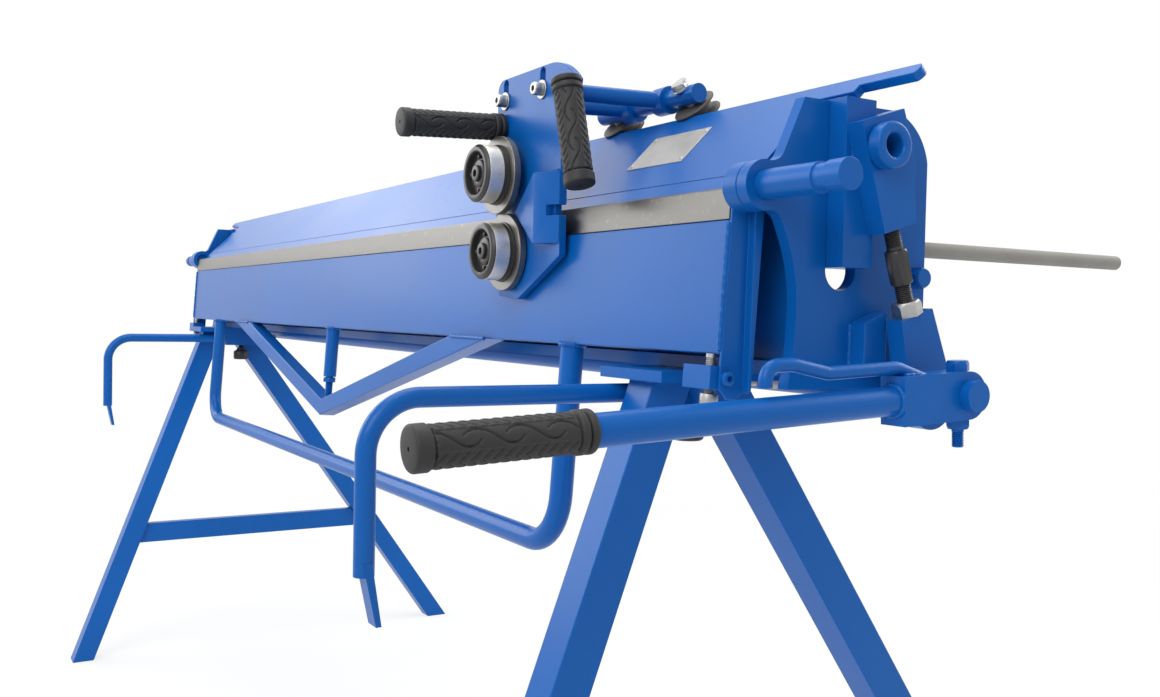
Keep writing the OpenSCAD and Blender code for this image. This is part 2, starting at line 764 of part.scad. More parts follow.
module truss_brace() color(paint) folded() difference() {
  brace_shape(brace_side, brace_side);
  brace_shape(brace_side - 2*brace_wall, brace_side - 2*brace_wall);
}

brace_slope = atan2(brace_drop + plate_foot, brace_half_w);
brace_inner = -brace_drop + brace_side/2/cos(brace_slope);
strut_len = 78;
strut_r = 10;
strut_bore = 20;
camber_r = 6;
camber_nut_r = 10.5;
camber_nut_h = 8;
module camber_strut() color(paint) folded() difference() {
  rod_z(plate_foot - strut_len, plate_foot, 0, mid_fold_y, strut_r);
  rod_z(plate_foot - strut_len - 1, plate_foot - strut_len + strut_bore, 0, mid_fold_y, camber_r + run_gap);
}

module camber_screw() color(paint) folded() {
  screw_foot = brace_inner + camber_r*tan(brace_slope) + 0.05;
  rod_z(screw_foot, plate_foot - strut_len + strut_bore, 0, mid_fold_y, camber_r);
  translate([0, mid_fold_y, plate_foot - strut_len - camber_nut_h - 1])
    cylinder(h = camber_nut_h, r = camber_nut_r, $fn = 6);
}

// Cross shaft with an eccentric journal inside each yoke
module cross_shaft() color(dark_steel) difference() {
  place() shaft_body();
  levered() rod_z(-hub_h/2, hub_h/2, 0, pinch_y, pinch_r + run_gap);
}

module shaft_body() {
  rod_x(-tongue_x, tongue_x, shaft_y, -shaft_drop, shaft_r);
  for (s = [-1, 1]) {
    x0 = s > 0 ? tongue_x : -link_x1 - 1;
    rod_x(x0, x0 + link_x1 - tongue_x + 1, journal_y, journal_z, journal_r);
  }
  rod_x(-shaft_left_end, -link_x1 - 1, journal_y, journal_z, journal_r + 3);
  rod_x(link_x1 + 1, shaft_right_end, shaft_y, -shaft_drop, shaft_r);
}

// Clamp lever, drawn level to the front and then drooped about the shaft
module levered() {
  place() translate([lever_x, shaft_y, -shaft_drop]) rotate([lever_droop, 0, 0]) children();
}

hub_front = 76;
hub_h = 40;
pinch_y = 0;
pinch_r = 5;
tube_in = 30;
tube_end = 6;
module lever_hub() color(paint) levered() difference() {
  union() {
    block([-hub_w/2, -hub_front, -hub_h/2], [hub_w/2, 0, hub_h/2]);
    rod_x(-hub_w/2, hub_w/2, 0, 0, hub_h/2);
  }
  rod_x(-hub_w/2 - 1, hub_w/2 + 1, 0, 0, shaft_r + run_gap);
  rod_z(-hub_h/2 - 1, hub_h/2 + 1, 0, pinch_y, pinch_r + run_gap);
  rod_y(-hub_front - 1, -hub_front + tube_in, 0, 0, lever_r + run_gap);
}

module lever_tube() color(paint) levered()
  rod_y(-lever_reach + tube_end, -hub_front + tube_in, 0, 0, lever_r);

module lever_grip() color(rubber) levered() difference() {
  rod_y(-lever_reach, -lever_reach + grip_len, 0, 0, grip_r);
  rod_y(-lever_reach + tube_end, -lever_reach + grip_len + 1, 0, 0, lever_r + run_gap);
}

// Bent rod along the top of the lever, its free tip turned down
hook_rod_r = 5.5;
hook_rod_z = hub_h/2 + hook_rod_r;
hook_rod_end = -208;
hook_rod_bend = 12;
module lever_hook() color(paint) levered() {
  rod_y(hook_rod_end + hook_rod_bend, -hub_front + 26, 0, hook_rod_z, hook_rod_r);
  translate([0, hook_rod_end + hook_rod_bend, hook_rod_z - hook_rod_bend])
    rotate([90, 0, -90]) quarter_bend(hook_rod_bend, hook_rod_r);
}

pinch_head_r = 9.5;
pinch_head_h = 9;
pinch_tail = 24;
module pinch_bolt() color(paint) levered() {
  rod_z(-hub_h/2 - pinch_tail, hub_h/2, 0, pinch_y, pinch_r);
  for (z = [hub_h/2, -hub_h/2 - pinch_head_h])
    translate([0, pinch_y, z]) cylinder(h = pinch_head_h, r = pinch_head_r, $fn = 6);
}

// Roller cutter: a plate with rounded shoulders, a throat for the sheet and slots for the arms' bolts
cutter_top = 152;
cutter_foot = -94;
cutter_left = -36;
cutter_right = 110;
cutter_low = -49;
cutter_high = 100;
left_round = 14;
right_round = 77;
right_from = 43;
round_n = 8;
ear = [136, 118];
throat_h = 11;
throat_z = -7.5;
throat_x = 100;
throat_w = 40;
slot_half = 5.5;
slot_up = 18;
function arc(c, r, a0, a1) =
  [for (i = [0:round_n]) let (t = a0 + (a1 - a0)*i/round_n) c + r*[cos(t), sin(t)]];

module cutter_plate() color(paint) place()
  translate([knife_x, plate_back, 0]) rotate([90, 0, 0]) linear_extrude(cutter_t) difference() {
    polygon([
      [cutter_left + 12, cutter_foot + 4], [20, cutter_foot], [cutter_right, cutter_low],
      [cutter_right, cutter_high],
      ear, each arc([cutter_right - 28, cutter_top - right_round], right_round, right_from, 90),
      each arc([cutter_left + left_round, cutter_top - left_round], left_round, 90, 180), [cutter_left, -40]
    ]);
    translate([throat_x, throat_z]) square([throat_w, throat_h]);
    for (x = arm_bolt_xs) {
      for (z = [arm_bolt_z, arm_bolt_z + slot_up]) translate([x - knife_x, z]) circle(r = slot_half);
      translate([x - knife_x - slot_half, arm_bolt_z]) square([2*slot_half, slot_up]);
    }
    for (s = [-1, 1]) translate([0, s*knife_dz]) circle(r = knife_axle_r + run_gap);
  }

// Spreader wedge behind the nip: an upright ridge that falls back to the plate on both sides
wedge_d = 14;
wedge_x = 78;
wedge_w = 31;
wedge_h = 74;
wedge_low = 36;
wedge_tip = 16;
wedge_tip_d = 3;
module cutter_wedge() color(paint) place() translate([knife_x, plate_front, 0]) difference() {
  hull() {
    translate([wedge_tip, -wedge_tip_d, 0]) cube([1, wedge_tip_d, 1]);
    translate([wedge_x, -wedge_d, -wedge_low]) cube([1, wedge_d, wedge_h]);
    translate([wedge_x + wedge_w, -1, -wedge_low]) cube([1, 1, wedge_h]);
  }
  translate([throat_x - 6, -wedge_d - 1, throat_z]) cube([throat_w, wedge_d + 2, throat_h]);
}

// Guide arms: tubes from the slotted bolts to eyes on the guide bar
arm_trim = 40;
arm_bolt_r = 4;
arm_bolt_in = 12;
arm_washer_r = 10;
arm_washer_t = 2;
arm_head_r = 7;
arm_head_h = 10;
arm_socket_r = 3.6;
arm_socket_in = 6;
eye_wall = 5;
module guide_arms() color(paint) place() for (i = [0, 1]) difference() {
  union() {
    rod_between([arm_bolt_xs[i], plate_back - 4, arm_bolt_z], [arm_eye_xs[i], bar_y, bar_z], guide_arm_r);
    rod_x(arm_eye_xs[i] - eye_w/2, arm_eye_xs[i] + eye_w/2, bar_y, bar_z, bar_r + eye_wall);
  }
  rod_x(arm_eye_xs[i] - eye_w, arm_eye_xs[i] + eye_w, bar_y, bar_z, bar_r + run_gap);
  block([arm_bolt_xs[i] - arm_trim, plate_back - arm_trim, arm_bolt_z - arm_trim],
        [arm_bolt_xs[i] + arm_trim, plate_back, arm_bolt_z + arm_trim]);
  rod_y(plate_back - 1, plate_back + arm_bolt_in, arm_bolt_xs[i], arm_bolt_z, arm_bolt_r + run_gap);
}

module guide_arm_bolts() color(steel) place() for (x = arm_bolt_xs) difference() {
  seat = plate_front - arm_washer_t;
  union() {
    rod_y(plate_front, plate_back + arm_bolt_in, x, arm_bolt_z, arm_bolt_r);
    rod_y(seat, plate_front, x, arm_bolt_z, arm_washer_r);
    rod_y(seat - arm_head_h, seat, x, arm_bolt_z, arm_head_r);
  }
  translate([x, seat - arm_head_h - 1, arm_bolt_z]) rotate([-90, 0, 0])
    cylinder(h = arm_socket_in + 1, r = arm_socket_r, $fn = 6);
}

// Handles: one to the front, a little drooped, and one hanging down from the plate's ear
grip_core_r = 11;
grip_shut = 6;
level_x = knife_x - 21;
level_z = 98.6;
level_len = 124;
level_fall = 6.4;
level_foot = [level_x, plate_front, level_z];
level_way = unit([0, -level_len, -level_fall]);
hang_arm_r = 7;
hang_grip_top = 14;
hang_grip_end = 126;
hang_arm_at = 32;
hang_off = 144;
hang_out = 18;
hang_z = 136;
hang_foot_off = 124;
hang_foot_in = 4;
hang_foot_z = 122;
hang_top = [knife_x + hang_off, plate_front - hang_out, hang_z];
hang_way = unit([32, 0, -111]);
hang_foot = [knife_x + hang_foot_off, plate_front + hang_foot_in, hang_foot_z];

// Core of the level grip, from inside the plate to short of the rubber's end
module level_core(r) {
  rod_between(level_foot - 2*level_way, level_foot + (level_len - grip_shut)*level_way, r);
}

// Core of the hanging grip, a little shorter than its rubber at both ends
module hang_core(r) {
  rod_between(hang_top + (hang_grip_top + 2)*hang_way, hang_top + (hang_grip_end - grip_shut)*hang_way, r);
}

// Arm from the plate's ear to the core
module hang_arm(r) {
  rod_between(hang_foot, hang_top + hang_arm_at*hang_way, r);
}

// What lies behind the front of the cutter's plate, to a distance in front of it
module behind_plate(gap) {
  block([knife_x - 100, plate_front - gap, 50], [knife_x + 200, plate_front + 40, 160]);
}

module cutter_handles() color(paint) place() {
  hang_core(grip_core_r);
  difference() {
    union() {
      level_core(grip_core_r);
      hang_arm(hang_arm_r);
    }
    behind_plate(0);
  }
}

module cutter_grips() color(rubber) place() {
  difference() {
    rod_between(level_foot, level_foot + level_len*level_way, grip_r);
    level_core(grip_core_r + run_gap);
    behind_plate(face_gap);
  }
  difference() {
    rod_between(hang_top + hang_grip_top*hang_way, hang_top + hang_grip_end*hang_way, grip_r);
    hang_core(grip_core_r + run_gap);
    hang_arm(hang_arm_r + run_gap);
  }
}

// Knives: a cutting flange and a collar that turn together on a shoulder bolt
axle_shoulder = 6;
axle_head = 4;
axle_head_in = 5;
axle_head_out = 2;
collar_rim = 8;
collar_sunk = 6;
module knife_axle(z, knife_y) {
  face = knife_y - knife_t - collar_len;
  rod_y(face + axle_head_in, plate_back, knife_x, z, knife_axle_r);
  rod_y(knife_y + slide_gap, plate_front, knife_x, z, knife_axle_r + axle_shoulder);
  rod_y(face - axle_head_out, face + axle_head_in, knife_x, z, knife_axle_r + axle_head);
}

module knife_axles() color(dark_steel) place() {
  knife_axle(knife_dz, upper_knife_y);
  knife_axle(-knife_dz, lower_knife_y);
}

module knife_disc(z, knife_y) difference() {
  rod_y(knife_y - knife_t, knife_y, knife_x, z, knife_r);
  rod_y(knife_y - knife_t - 1, knife_y + 1, knife_x, z, knife_axle_r + run_gap);
}

module knife_collar(z, knife_y) difference() {
  rod_y(knife_y - knife_t - collar_len, knife_y - knife_t, knife_x, z, collar_r);
  rod_y(knife_y - knife_t - collar_len - 1, knife_y - knife_t + 1, knife_x, z, knife_axle_r + run_gap);
  rod_y(knife_y - knife_t - collar_len - 1, knife_y - knife_t - collar_len + collar_sunk, knife_x, z,
        collar_r - collar_rim);
}

module upper_knife() color(dark_steel) place() knife_disc(knife_dz, upper_knife_y);
module upper_collar() color(steel) place() knife_collar(knife_dz, upper_knife_y);
module lower_knife() color(dark_steel) place() knife_disc(-knife_dz, lower_knife_y);
module lower_collar() color(steel) place() knife_collar(-knife_dz, lower_knife_y);

// Guide bar and pulleys on top of the clamping beam's plate
bar_end = 21;
axle_nut_r = 10;
axle_nut_h = 8;
axle_low_h = 8.5;
axle_low = -pulley_half_w - 9;
module guide_bar() color(paint) place() difference() {
  rod_x(left_pulley_x - bar_end, right_pulley_x + bar_end, bar_y, bar_z, bar_r);
  for (x = [left_pulley_x, right_pulley_x]) translate([x, pulley_y, pulley_z]) rotate([45, 0, 0])
    cylinder(h = bar_off + 20, r = pulley_bore_r);
}

module pulley_axles() color(steel) place() for (x = [left_pulley_x, right_pulley_x])
  translate([x, pulley_y, pulley_z]) rotate([45, 0, 0]) {
    translate([0, 0, axle_low]) cylinder(h = bar_off + bar_r - axle_low, r = pulley_axle_r);
    translate([0, 0, axle_low]) cylinder(h = axle_low_h, r = axle_nut_r, $fn = 6);
    translate([0, 0, bar_off + bar_r]) cylinder(h = axle_nut_h, r = axle_nut_r, $fn = 6);
  }

module pulley(x) translate([x, pulley_y, pulley_z]) rotate([45, 0, 0]) rotate_extrude() polygon([
  [pulley_bore_r, -pulley_half_w], [pulley_r, -pulley_half_w], [pulley_r, -pulley_half_w + rim_t],
  [groove_r, -pulley_half_w + rim_t], [groove_r, pulley_half_w - rim_t], [pulley_r, pulley_half_w - rim_t],
  [pulley_r, pulley_half_w], [pulley_bore_r, pulley_half_w]
]);

module right_pulley() color(rubber) place() pulley(right_pulley_x);
module left_pulley() color(rubber) place() pulley(left_pulley_x);

lower_beam();
table_blade();
side_plate_right();
side_plate_left();
trestle_heads();
front_legs();
rear_legs();
leg_crossbars();
trestle_bolts();
hinge_pins();
shaft_gussets();
rear_rods();
rod_clamps();
rod_clamp_screws();
arm_sleeves();
upper_plate();
clamp_bar();
upper_stiffener();
end_tongues();
clamp_links();
link_pins();
tension_rods();
rod_nuts();
yokes();
nameplate();
fold_plate();
fold_blade();
fold_arms();
adjust_blocks();
adjust_screws();
block_screws();
lift_handle();
truss_brace();
camber_strut();
camber_screw();
cross_shaft();
lever_hub();
lever_tube();
lever_grip();
lever_hook();
pinch_bolt();
cutter_plate();
cutter_wedge();
guide_arms();
guide_arm_bolts();
cutter_handles();
cutter_grips();
knife_axles();
upper_knife();
upper_collar();
lower_knife();
lower_collar();
guide_bar();
pulley_axles();
right_pulley();
left_pulley();
hook_arm_right();
hook_arm_left();
knob_right();
knob_left();
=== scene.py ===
import json
from contextlib import contextmanager
from math import atan2, cos, pi, radians, sin, sqrt, tan

import bpy
from mathutils import Matrix, Vector

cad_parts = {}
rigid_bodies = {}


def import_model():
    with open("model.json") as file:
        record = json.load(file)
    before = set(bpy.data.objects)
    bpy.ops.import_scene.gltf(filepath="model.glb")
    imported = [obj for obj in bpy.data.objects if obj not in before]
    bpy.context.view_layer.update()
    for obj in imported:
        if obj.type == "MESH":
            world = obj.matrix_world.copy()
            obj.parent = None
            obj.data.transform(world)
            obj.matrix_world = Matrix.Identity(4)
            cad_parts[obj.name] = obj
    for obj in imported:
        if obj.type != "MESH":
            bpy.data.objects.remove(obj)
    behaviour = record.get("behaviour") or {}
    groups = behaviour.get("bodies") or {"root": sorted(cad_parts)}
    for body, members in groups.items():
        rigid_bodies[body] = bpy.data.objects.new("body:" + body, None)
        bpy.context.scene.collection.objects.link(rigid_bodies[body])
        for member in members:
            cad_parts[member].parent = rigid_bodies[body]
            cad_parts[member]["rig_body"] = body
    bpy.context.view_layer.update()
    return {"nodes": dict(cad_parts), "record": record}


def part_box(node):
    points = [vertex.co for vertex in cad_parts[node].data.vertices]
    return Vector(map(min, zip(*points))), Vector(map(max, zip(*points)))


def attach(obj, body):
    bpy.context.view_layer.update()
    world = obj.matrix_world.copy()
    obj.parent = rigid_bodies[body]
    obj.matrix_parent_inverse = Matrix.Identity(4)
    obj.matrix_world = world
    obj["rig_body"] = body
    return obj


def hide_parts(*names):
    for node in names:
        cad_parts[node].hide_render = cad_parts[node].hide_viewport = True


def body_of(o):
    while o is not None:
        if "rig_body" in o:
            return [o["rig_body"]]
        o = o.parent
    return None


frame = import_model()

bl_info = {
    "name": "Roofing sheet metal brake",
    "version": (1, 0, 0),
    "blender": (4, 5, 0),
    "location": "View3D > Sidebar > Brake",
    "description": "Dresses a folding brake: enamel, steel, rubber grips, rollers, fasteners and welds",
    "category": "Object",
}

NODES = frame["nodes"]
MM = 0.001

# Main directions, and those along and off the sloping plate of the clamping beam
RIGHT = Vector((1, 0, 0))
AHEAD = Vector((0, -1, 0))
BACK = Vector((0, 1, 0))
UP = Vector((0, 0, 1))
DOWN = Vector((0, 0, -1))
UP_SLOPE = Vector((0, 1, 1)).normalized()
OFF_SLOPE = Vector((0, -1, 1)).normalized()

# The fold line in the frame: the table blade's front edge lies half a millimetre behind it
FOLD_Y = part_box("table_blade")[0][1] - 0.5 * MM
FOLD_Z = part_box("table_blade")[1][2]

# Places that others are reckoned from, in millimetres: half of the folding blade's length, the middle
# of the right trestle's legs, and the left edge and the front face of the cutter's plate
HALF = round(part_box("fold_blade")[1][0] / MM, 1)
LEG_HALF = 20
LEG_X = round(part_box("front_legs")[1][0] / MM, 1) - LEG_HALF
CUTTER_X = round(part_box("cutter_plate")[0][0] / MM, 1)
CUTTER_FACE = round((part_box("cutter_plate")[0][1] - FOLD_Y) / MM, 1)


def at(x, y, z):
    """A point given in millimetres from the middle of the fold line, in metres in the frame."""
    return Vector((x * MM, FOLD_Y + y * MM, FOLD_Z + z * MM))


def corners(node):
    """The low and the high corner of a CAD node's box."""
    return [Vector(corner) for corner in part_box(node)]


def middle(node):
    """The centre of a CAD node's box."""
    low, high = corners(node)
    return (low + high) / 2


# The folding beam leans on its hinge, and the clamp lever droops on its shaft
FOLD_LEAN = radians(3.7)
FOLD_UP = Vector((0, sin(FOLD_LEAN), cos(FOLD_LEAN)))
LEVER_DROOP = radians(2.8)
LEVER_AHEAD = Vector((0, -cos(LEVER_DROOP), -sin(LEVER_DROOP)))
LEVER_UP = Vector((0, -sin(LEVER_DROOP), cos(LEVER_DROOP)))
LEVER_X, SHAFT_Y, SHAFT_Z = HALF + 103, 152, -169
SHAFT = at(LEVER_X, SHAFT_Y, SHAFT_Z)


def on_fold_beam(x, y, z):
    """A point given in millimetres on the upright folding beam, leaned with it."""
    return at(x, y * cos(FOLD_LEAN) + z * sin(FOLD_LEAN), -y * sin(FOLD_LEAN) + z * cos(FOLD_LEAN))


def on_lever(along, up, aside=0):
    """A point given in millimetres ahead of the shaft, over the lever's axis and beside it."""
    return SHAFT + LEVER_AHEAD * (along * MM) + LEVER_UP * (up * MM) + RIGHT * (aside * MM)


# Shader maths


class Value:
    """A shader socket that can be added, subtracted, multiplied and compared like a number."""

    def __init__(self, nodes, socket):
        self.nodes = nodes
        self.socket = socket

    def _maths(self, operation, first, second):
        return self.nodes.add("ShaderNodeMath", {"operation": operation}, {0: first, 1: second})

    def __add__(self, other):
        return self._maths("ADD", self, other)

    __radd__ = __add__

    def __sub__(self, other):
        return self._maths("SUBTRACT", self, other)

    def __rsub__(self, other):
        return self._maths("SUBTRACT", other, self)

    def __mul__(self, other):
        return self._maths("MULTIPLY", self, other)

    __rmul__ = __mul__

    def __gt__(self, other):
        return self._maths("GREATER_THAN", self, other)

    def __lt__(self, other):
        return self._maths("LESS_THAN", self, other)

    def or_more(self, other):
        """The greater of two values."""
        return self._maths("MAXIMUM", self, other)


class Finish:
    """The node tree of a material or of the world, built from expressions."""

    def __init__(self, name, store=None):
        store = bpy.data.materials if store is None else store
        self.owner = store.new(name)
        self.owner.use_nodes = True
        self.tree = self.owner.node_tree
        self.tree.nodes.clear()

    def add(self, kind, settings=None, sockets=None, out=0):
        """Adds a node, sets it up, fills or links its sockets and gives back one of its outputs."""
        node = self.tree.nodes.new(kind)
        for key, value in (settings or {}).items():
            setattr(node, key, value)
        for key, value in (sockets or {}).items():
            if isinstance(value, Value):
                self.tree.links.new(value.socket, node.inputs[key])
            else:
                node.inputs[key].default_value = value
        return Value(self, node.outputs[out]) if node.outputs else None

    def place(self):
        """The piece's own coordinates, in metres."""
        return self.add("ShaderNodeTexCoord", out="Object")

    def stretched(self, where, scale):
        """Coordinates drawn out along some axes, for brushing and grain."""
        return self.add("ShaderNodeMapping", {}, {"Vector": where, "Scale": scale})

    def noise(self, where, scale, detail=2.0, roughness=0.5):
        return self.add("ShaderNodeTexNoise", {}, {
            "Vector": where, "Scale": scale, "Detail": detail, "Roughness": roughness,
        }, out="Fac")

    def eased(self, value, low, high, first=0.0, last=1.0):
        """A number that eases from a first to a last one while a value goes from low to high."""
        return self.add("ShaderNodeMapRange", {"interpolation_type": "SMOOTHSTEP"}, {
            "Value": value, "From Min": low, "From Max": high, "To Min": first, "To Max": last,
        })

    def blend(self, factor, first, second):
        """A colour between two others."""
        return self.add("ShaderNodeMix", {"data_type": "RGBA"}, {0: factor, 6: first, 7: second}, out=2)

    def shades(self, factor, colour, dark, light):
        """A colour between a darker and a lighter shade of itself."""
        return self.blend(factor, rgba(colour, dark), rgba(colour, light))

    def bump(self, height, distance, strength=0.5):
        return self.add("ShaderNodeBump", {}, {
            "Height": height, "Distance": distance, "Strength": strength,
        })

    def seen(self):
        """One for rays that show the background to the eye: straight, mirrored or through glass."""
        camera = self.add("ShaderNodeLightPath", out="Is Camera Ray")
        rays = camera.socket.node.outputs
        mirrored = Value(self, rays["Is Glossy Ray"])
        through = Value(self, rays["Is Transmission Ray"])
        return camera.or_more(mirrored).or_more(through)

    def close(self, shader, end="ShaderNodeOutputMaterial"):
        """Ends the tree with a shader and gives back the material or the world."""
        self.add(end, {}, {"Surface": shader})
        return self.owner

    def surface(self, **sockets):
        """Closes the tree with one Principled shader. Socket names use underscores for blanks."""
        named = {key.replace("_", " "): value for key, value in sockets.items()}
        return self.close(self.add("ShaderNodeBsdfPrincipled", {}, named))


def rgba(colour, scale=1.0):
    return (colour[0] * scale, colour[1] * scale, colour[2] * scale, 1.0)


def enamel(name, colour, rough=0.26):
    """Glossy sprayed enamel: a fine orange peel, faint clouding and a few rubbed spots."""
    finish = Finish(name)
    where = finish.place()
    cloud = finish.noise(where, 5.0, 3.0)
    peel = finish.noise(where, 420.0, 1.0)
    dimple = finish.noise(where, 90.0)
    rub = finish.noise(finish.stretched(where, (1.0, 1.0, 3.0)), 34.0, 6.0, 0.7)
    rubbed = finish.eased(rub, 0.62, 0.74)
    rubbed_colour = rgba((0.03, 0.15, 0.42))
    base = finish.shades(cloud, colour, 0.84, 1.14)
    return finish.surface(
        Base_Color=finish.blend(rubbed * 0.22, base, rubbed_colour),
        Roughness=cloud * 0.10 + rubbed * 0.14 + rough,
        Normal=finish.bump(peel * 0.35 + dimple * 0.65, 0.00022, 0.55),
        Coat_Weight=0.03,
        Coat_Roughness=0.12,
        Specular_IOR_Level=0.18,
    )


def ground_steel(name, colour, along=(2.0, 260.0, 260.0), rough=0.24):
    """Ground steel with fine lines along the blade, and broad soft bands, brighter and darker, that are
    partly faint stains and partly painted reflection.
    """
    finish = Finish(name)
    where = finish.place()
    lines = finish.noise(finish.stretched(where, along), 6.0, 3.0, 0.6)
    # Broad bands along the blade, lighter and darker in the base colour: partly faint stains, partly
    # painted reflection of bright and dark surroundings
    stain_and_reflection = finish.noise(finish.stretched(where, (1.0, 2.5, 6.0)), 7.0, 5.0, 0.62)
    speck = finish.noise(where, 160.0)
    speck_colour = rgba((0.33, 0.27, 0.20))
    base = finish.shades(stain_and_reflection, colour, 0.62, 1.3)
    base = finish.blend(lines * 0.5, base, rgba(colour, 1.5))
    return finish.surface(
        Base_Color=finish.blend((speck > 0.66) * 0.25, base, speck_colour),
        Metallic=1.0,
        Roughness=lines * 0.16 + stain_and_reflection * 0.12 + rough,
        Normal=finish.bump(lines, 0.00006),
    )


def plated(name, colour, rough=0.3):
    """Zinc plate: a dull sparkle with darker handling marks."""
    finish = Finish(name)
    where = finish.place()
    sparkle = finish.noise(where, 620.0)
    mark = finish.noise(where, 70.0, 4.0, 0.65)
    return finish.surface(
        Base_Color=finish.shades(mark, colour, 0.7, 1.1),
        Metallic=1.0,
        Roughness=sparkle * 0.12 + mark * 0.14 + rough,
        Normal=finish.bump(sparkle, 0.00008),
    )


def moulded_rubber(name, colour, rough=0.52):
    """Moulded rubber with a chalky bloom on its high spots."""
    finish = Finish(name)
    where = finish.place()
    grain = finish.noise(where, 1100.0)
    bloom = finish.noise(where, 46.0, 4.0, 0.6)
    return finish.surface(
        Base_Color=finish.shades(bloom, colour, 0.75, 1.7),
        Roughness=bloom * 0.14 + rough,
        Normal=finish.bump(grain, 0.00012, 0.6),
        Specular_IOR_Level=0.42,
    )


def dull_coat(name, colour, rough, grain):
    """A plain matte coat or moulding with a fine grain."""
    finish = Finish(name)
    where = finish.place()
    fine = finish.noise(where, grain)
    patch = finish.noise(where, 24.0, 4.0, 0.6)
    return finish.surface(
        Base_Color=finish.shades(patch, colour, 0.8, 1.2),
        Roughness=patch * 0.14 + rough,
        Normal=finish.bump(fine, 0.0001),
    )


def satin_plate(name, colour, rough=0.34):
    """A bare satin aluminium plate, brushed along its length and a little dulled."""
    finish = Finish(name)
    where = finish.place()
    lines = finish.noise(finish.stretched(where, (4.0, 320.0, 320.0)), 8.0, 3.0)
    haze = finish.noise(where, 60.0, 4.0, 0.6)
    return finish.surface(
        Base_Color=finish.shades(haze, colour, 0.75, 1.1),
        Metallic=0.85,
        Roughness=lines * 0.2 + haze * 0.15 + rough,
        Normal=finish.bump(lines, 0.00005),
    )


FINISHES = {}


def make_finishes(colours):
    """Every finish of the machine, by name."""
    FINISHES.update(
        enamel=enamel("blue_enamel", colours.enamel),
        ground=ground_steel("ground_steel", colours.ground_steel),
        roller=ground_steel("polished_roller", colours.roller, (260.0, 3.0, 260.0), 0.3),
        knife=ground_steel("knife_steel", (0.21, 0.205, 0.195), (40.0, 40.0, 40.0), 0.28),
        hardened=dull_coat("blackened_steel", (0.022, 0.021, 0.022), rough=0.3, grain=320.0),
        zinc=plated("zinc_plate", colours.zinc),
        rubber=moulded_rubber("grip_rubber", colours.rubber),
        pulley=dull_coat("pulley_plastic", (0.052, 0.047, 0.042), rough=0.5, grain=500.0),
        knob=dull_coat("knob_plastic", (0.016, 0.016, 0.018), rough=0.36, grain=420.0),
        grey_rod=dull_coat("grey_rod_coat", (0.25, 0.24, 0.215), rough=0.62, grain=600.0),
        label=satin_plate("bare_plate", (0.42, 0.41, 0.395)),
    )


# Modelling helpers


def nothing_selected():
    if bpy.context.object is not None and bpy.context.object.mode != "OBJECT":
        bpy.ops.object.mode_set(mode="OBJECT")
    bpy.ops.object.select_all(action="DESELECT")


def only(obj):
    """Selects one object and makes it the active one."""
    nothing_selected()
    obj.select_set(True)
    bpy.context.view_layer.objects.active = obj
    return obj


def added(operator, **settings):
    """The object that one of Blender's operators adds."""
    nothing_selected()
    operator(**settings)
    return bpy.context.object


@contextmanager
def editing(obj):
    """Edit mode with the whole mesh selected."""
    only(obj)
    bpy.ops.object.mode_set(mode="EDIT")
    bpy.ops.mesh.select_all(action="SELECT")
    yield
    bpy.ops.object.mode_set(mode="OBJECT")


def in_place(obj):
    """Puts a piece's turn, size and place into its mesh."""
    only(obj)
    bpy.ops.object.transform_apply(location=True, rotation=True, scale=True)
    return obj


def turn_to(direction):
    """The turn that brings the upward axis to a direction."""
    return Vector(direction).normalized().to_track_quat("Z", "Y")


def aimed(obj, start, direction, spin=0.0):
    """Sets a piece at a place with its upward axis along a direction."""
    turn = turn_to(direction).to_matrix().to_4x4() @ Matrix.Rotation(spin, 4, "Z")
    obj.matrix_world = Matrix.Translation(Vector(start)) @ turn
    return in_place(obj)


def smooth(obj, degrees):
    only(obj)
    bpy.ops.object.shade_smooth_by_angle(angle=radians(degrees))
    return obj


def face_outwards(obj, merge=0.0):
    """Merges doubles where asked and turns every face outwards."""
    with editing(obj):
        if merge:
            bpy.ops.mesh.remove_doubles(threshold=merge)
        bpy.ops.mesh.normals_make_consistent(inside=False)
    return obj


def give(obj, name, finish, body, node=None):
    """Names a piece, gives it its finish and its body, and lets it stand for a CAD node."""
    if not obj.data.polygons:
        raise RuntimeError(name + " has no faces")
    obj.name = name
    obj.data.name = name
    obj.data.materials.clear()
    obj.data.materials.append(FINISHES[finish])
    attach(obj, body)
    if node is not None:
        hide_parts(node)


def joined(objs):
    """Several meshes as one piece."""
    nothing_selected()
    for obj in objs:
        obj.select_set(True)
    bpy.context.view_layer.objects.active = objs[0]
    if len(objs) > 1:
        bpy.ops.object.join()
    return bpy.context.view_layer.objects.active


def twin(obj):
    """A copy of a piece with a mesh of its own."""
    only(obj)
    bpy.ops.object.duplicate(linked=False)
    return bpy.context.object


def copied(obj, shift):
    """A copy of a piece, moved by a shift."""
    other = twin(obj)
    other.location = shift
    return in_place(other)


def both_ends(objs):
    """The pieces of the right end with mirrored copies at the left end."""
    twins = []
    for obj in objs:
        other = twin(obj)
        other.scale = (-1, 1, 1)
        twins.append(face_outwards(in_place(other)))
    return objs + twins


def cut(obj, tool, operation):
    """Shapes a piece with a tool, which is then thrown away."""
    only(obj)
    bpy.ops.object.modifier_add(type="BOOLEAN")
    modifier = obj.modifiers[-1]
    modifier.operation = operation
    modifier.object = tool
    modifier.solver = "EXACT"
    bpy.ops.object.modifier_apply(modifier=modifier.name)
    bpy.data.objects.remove(tool)
    return obj


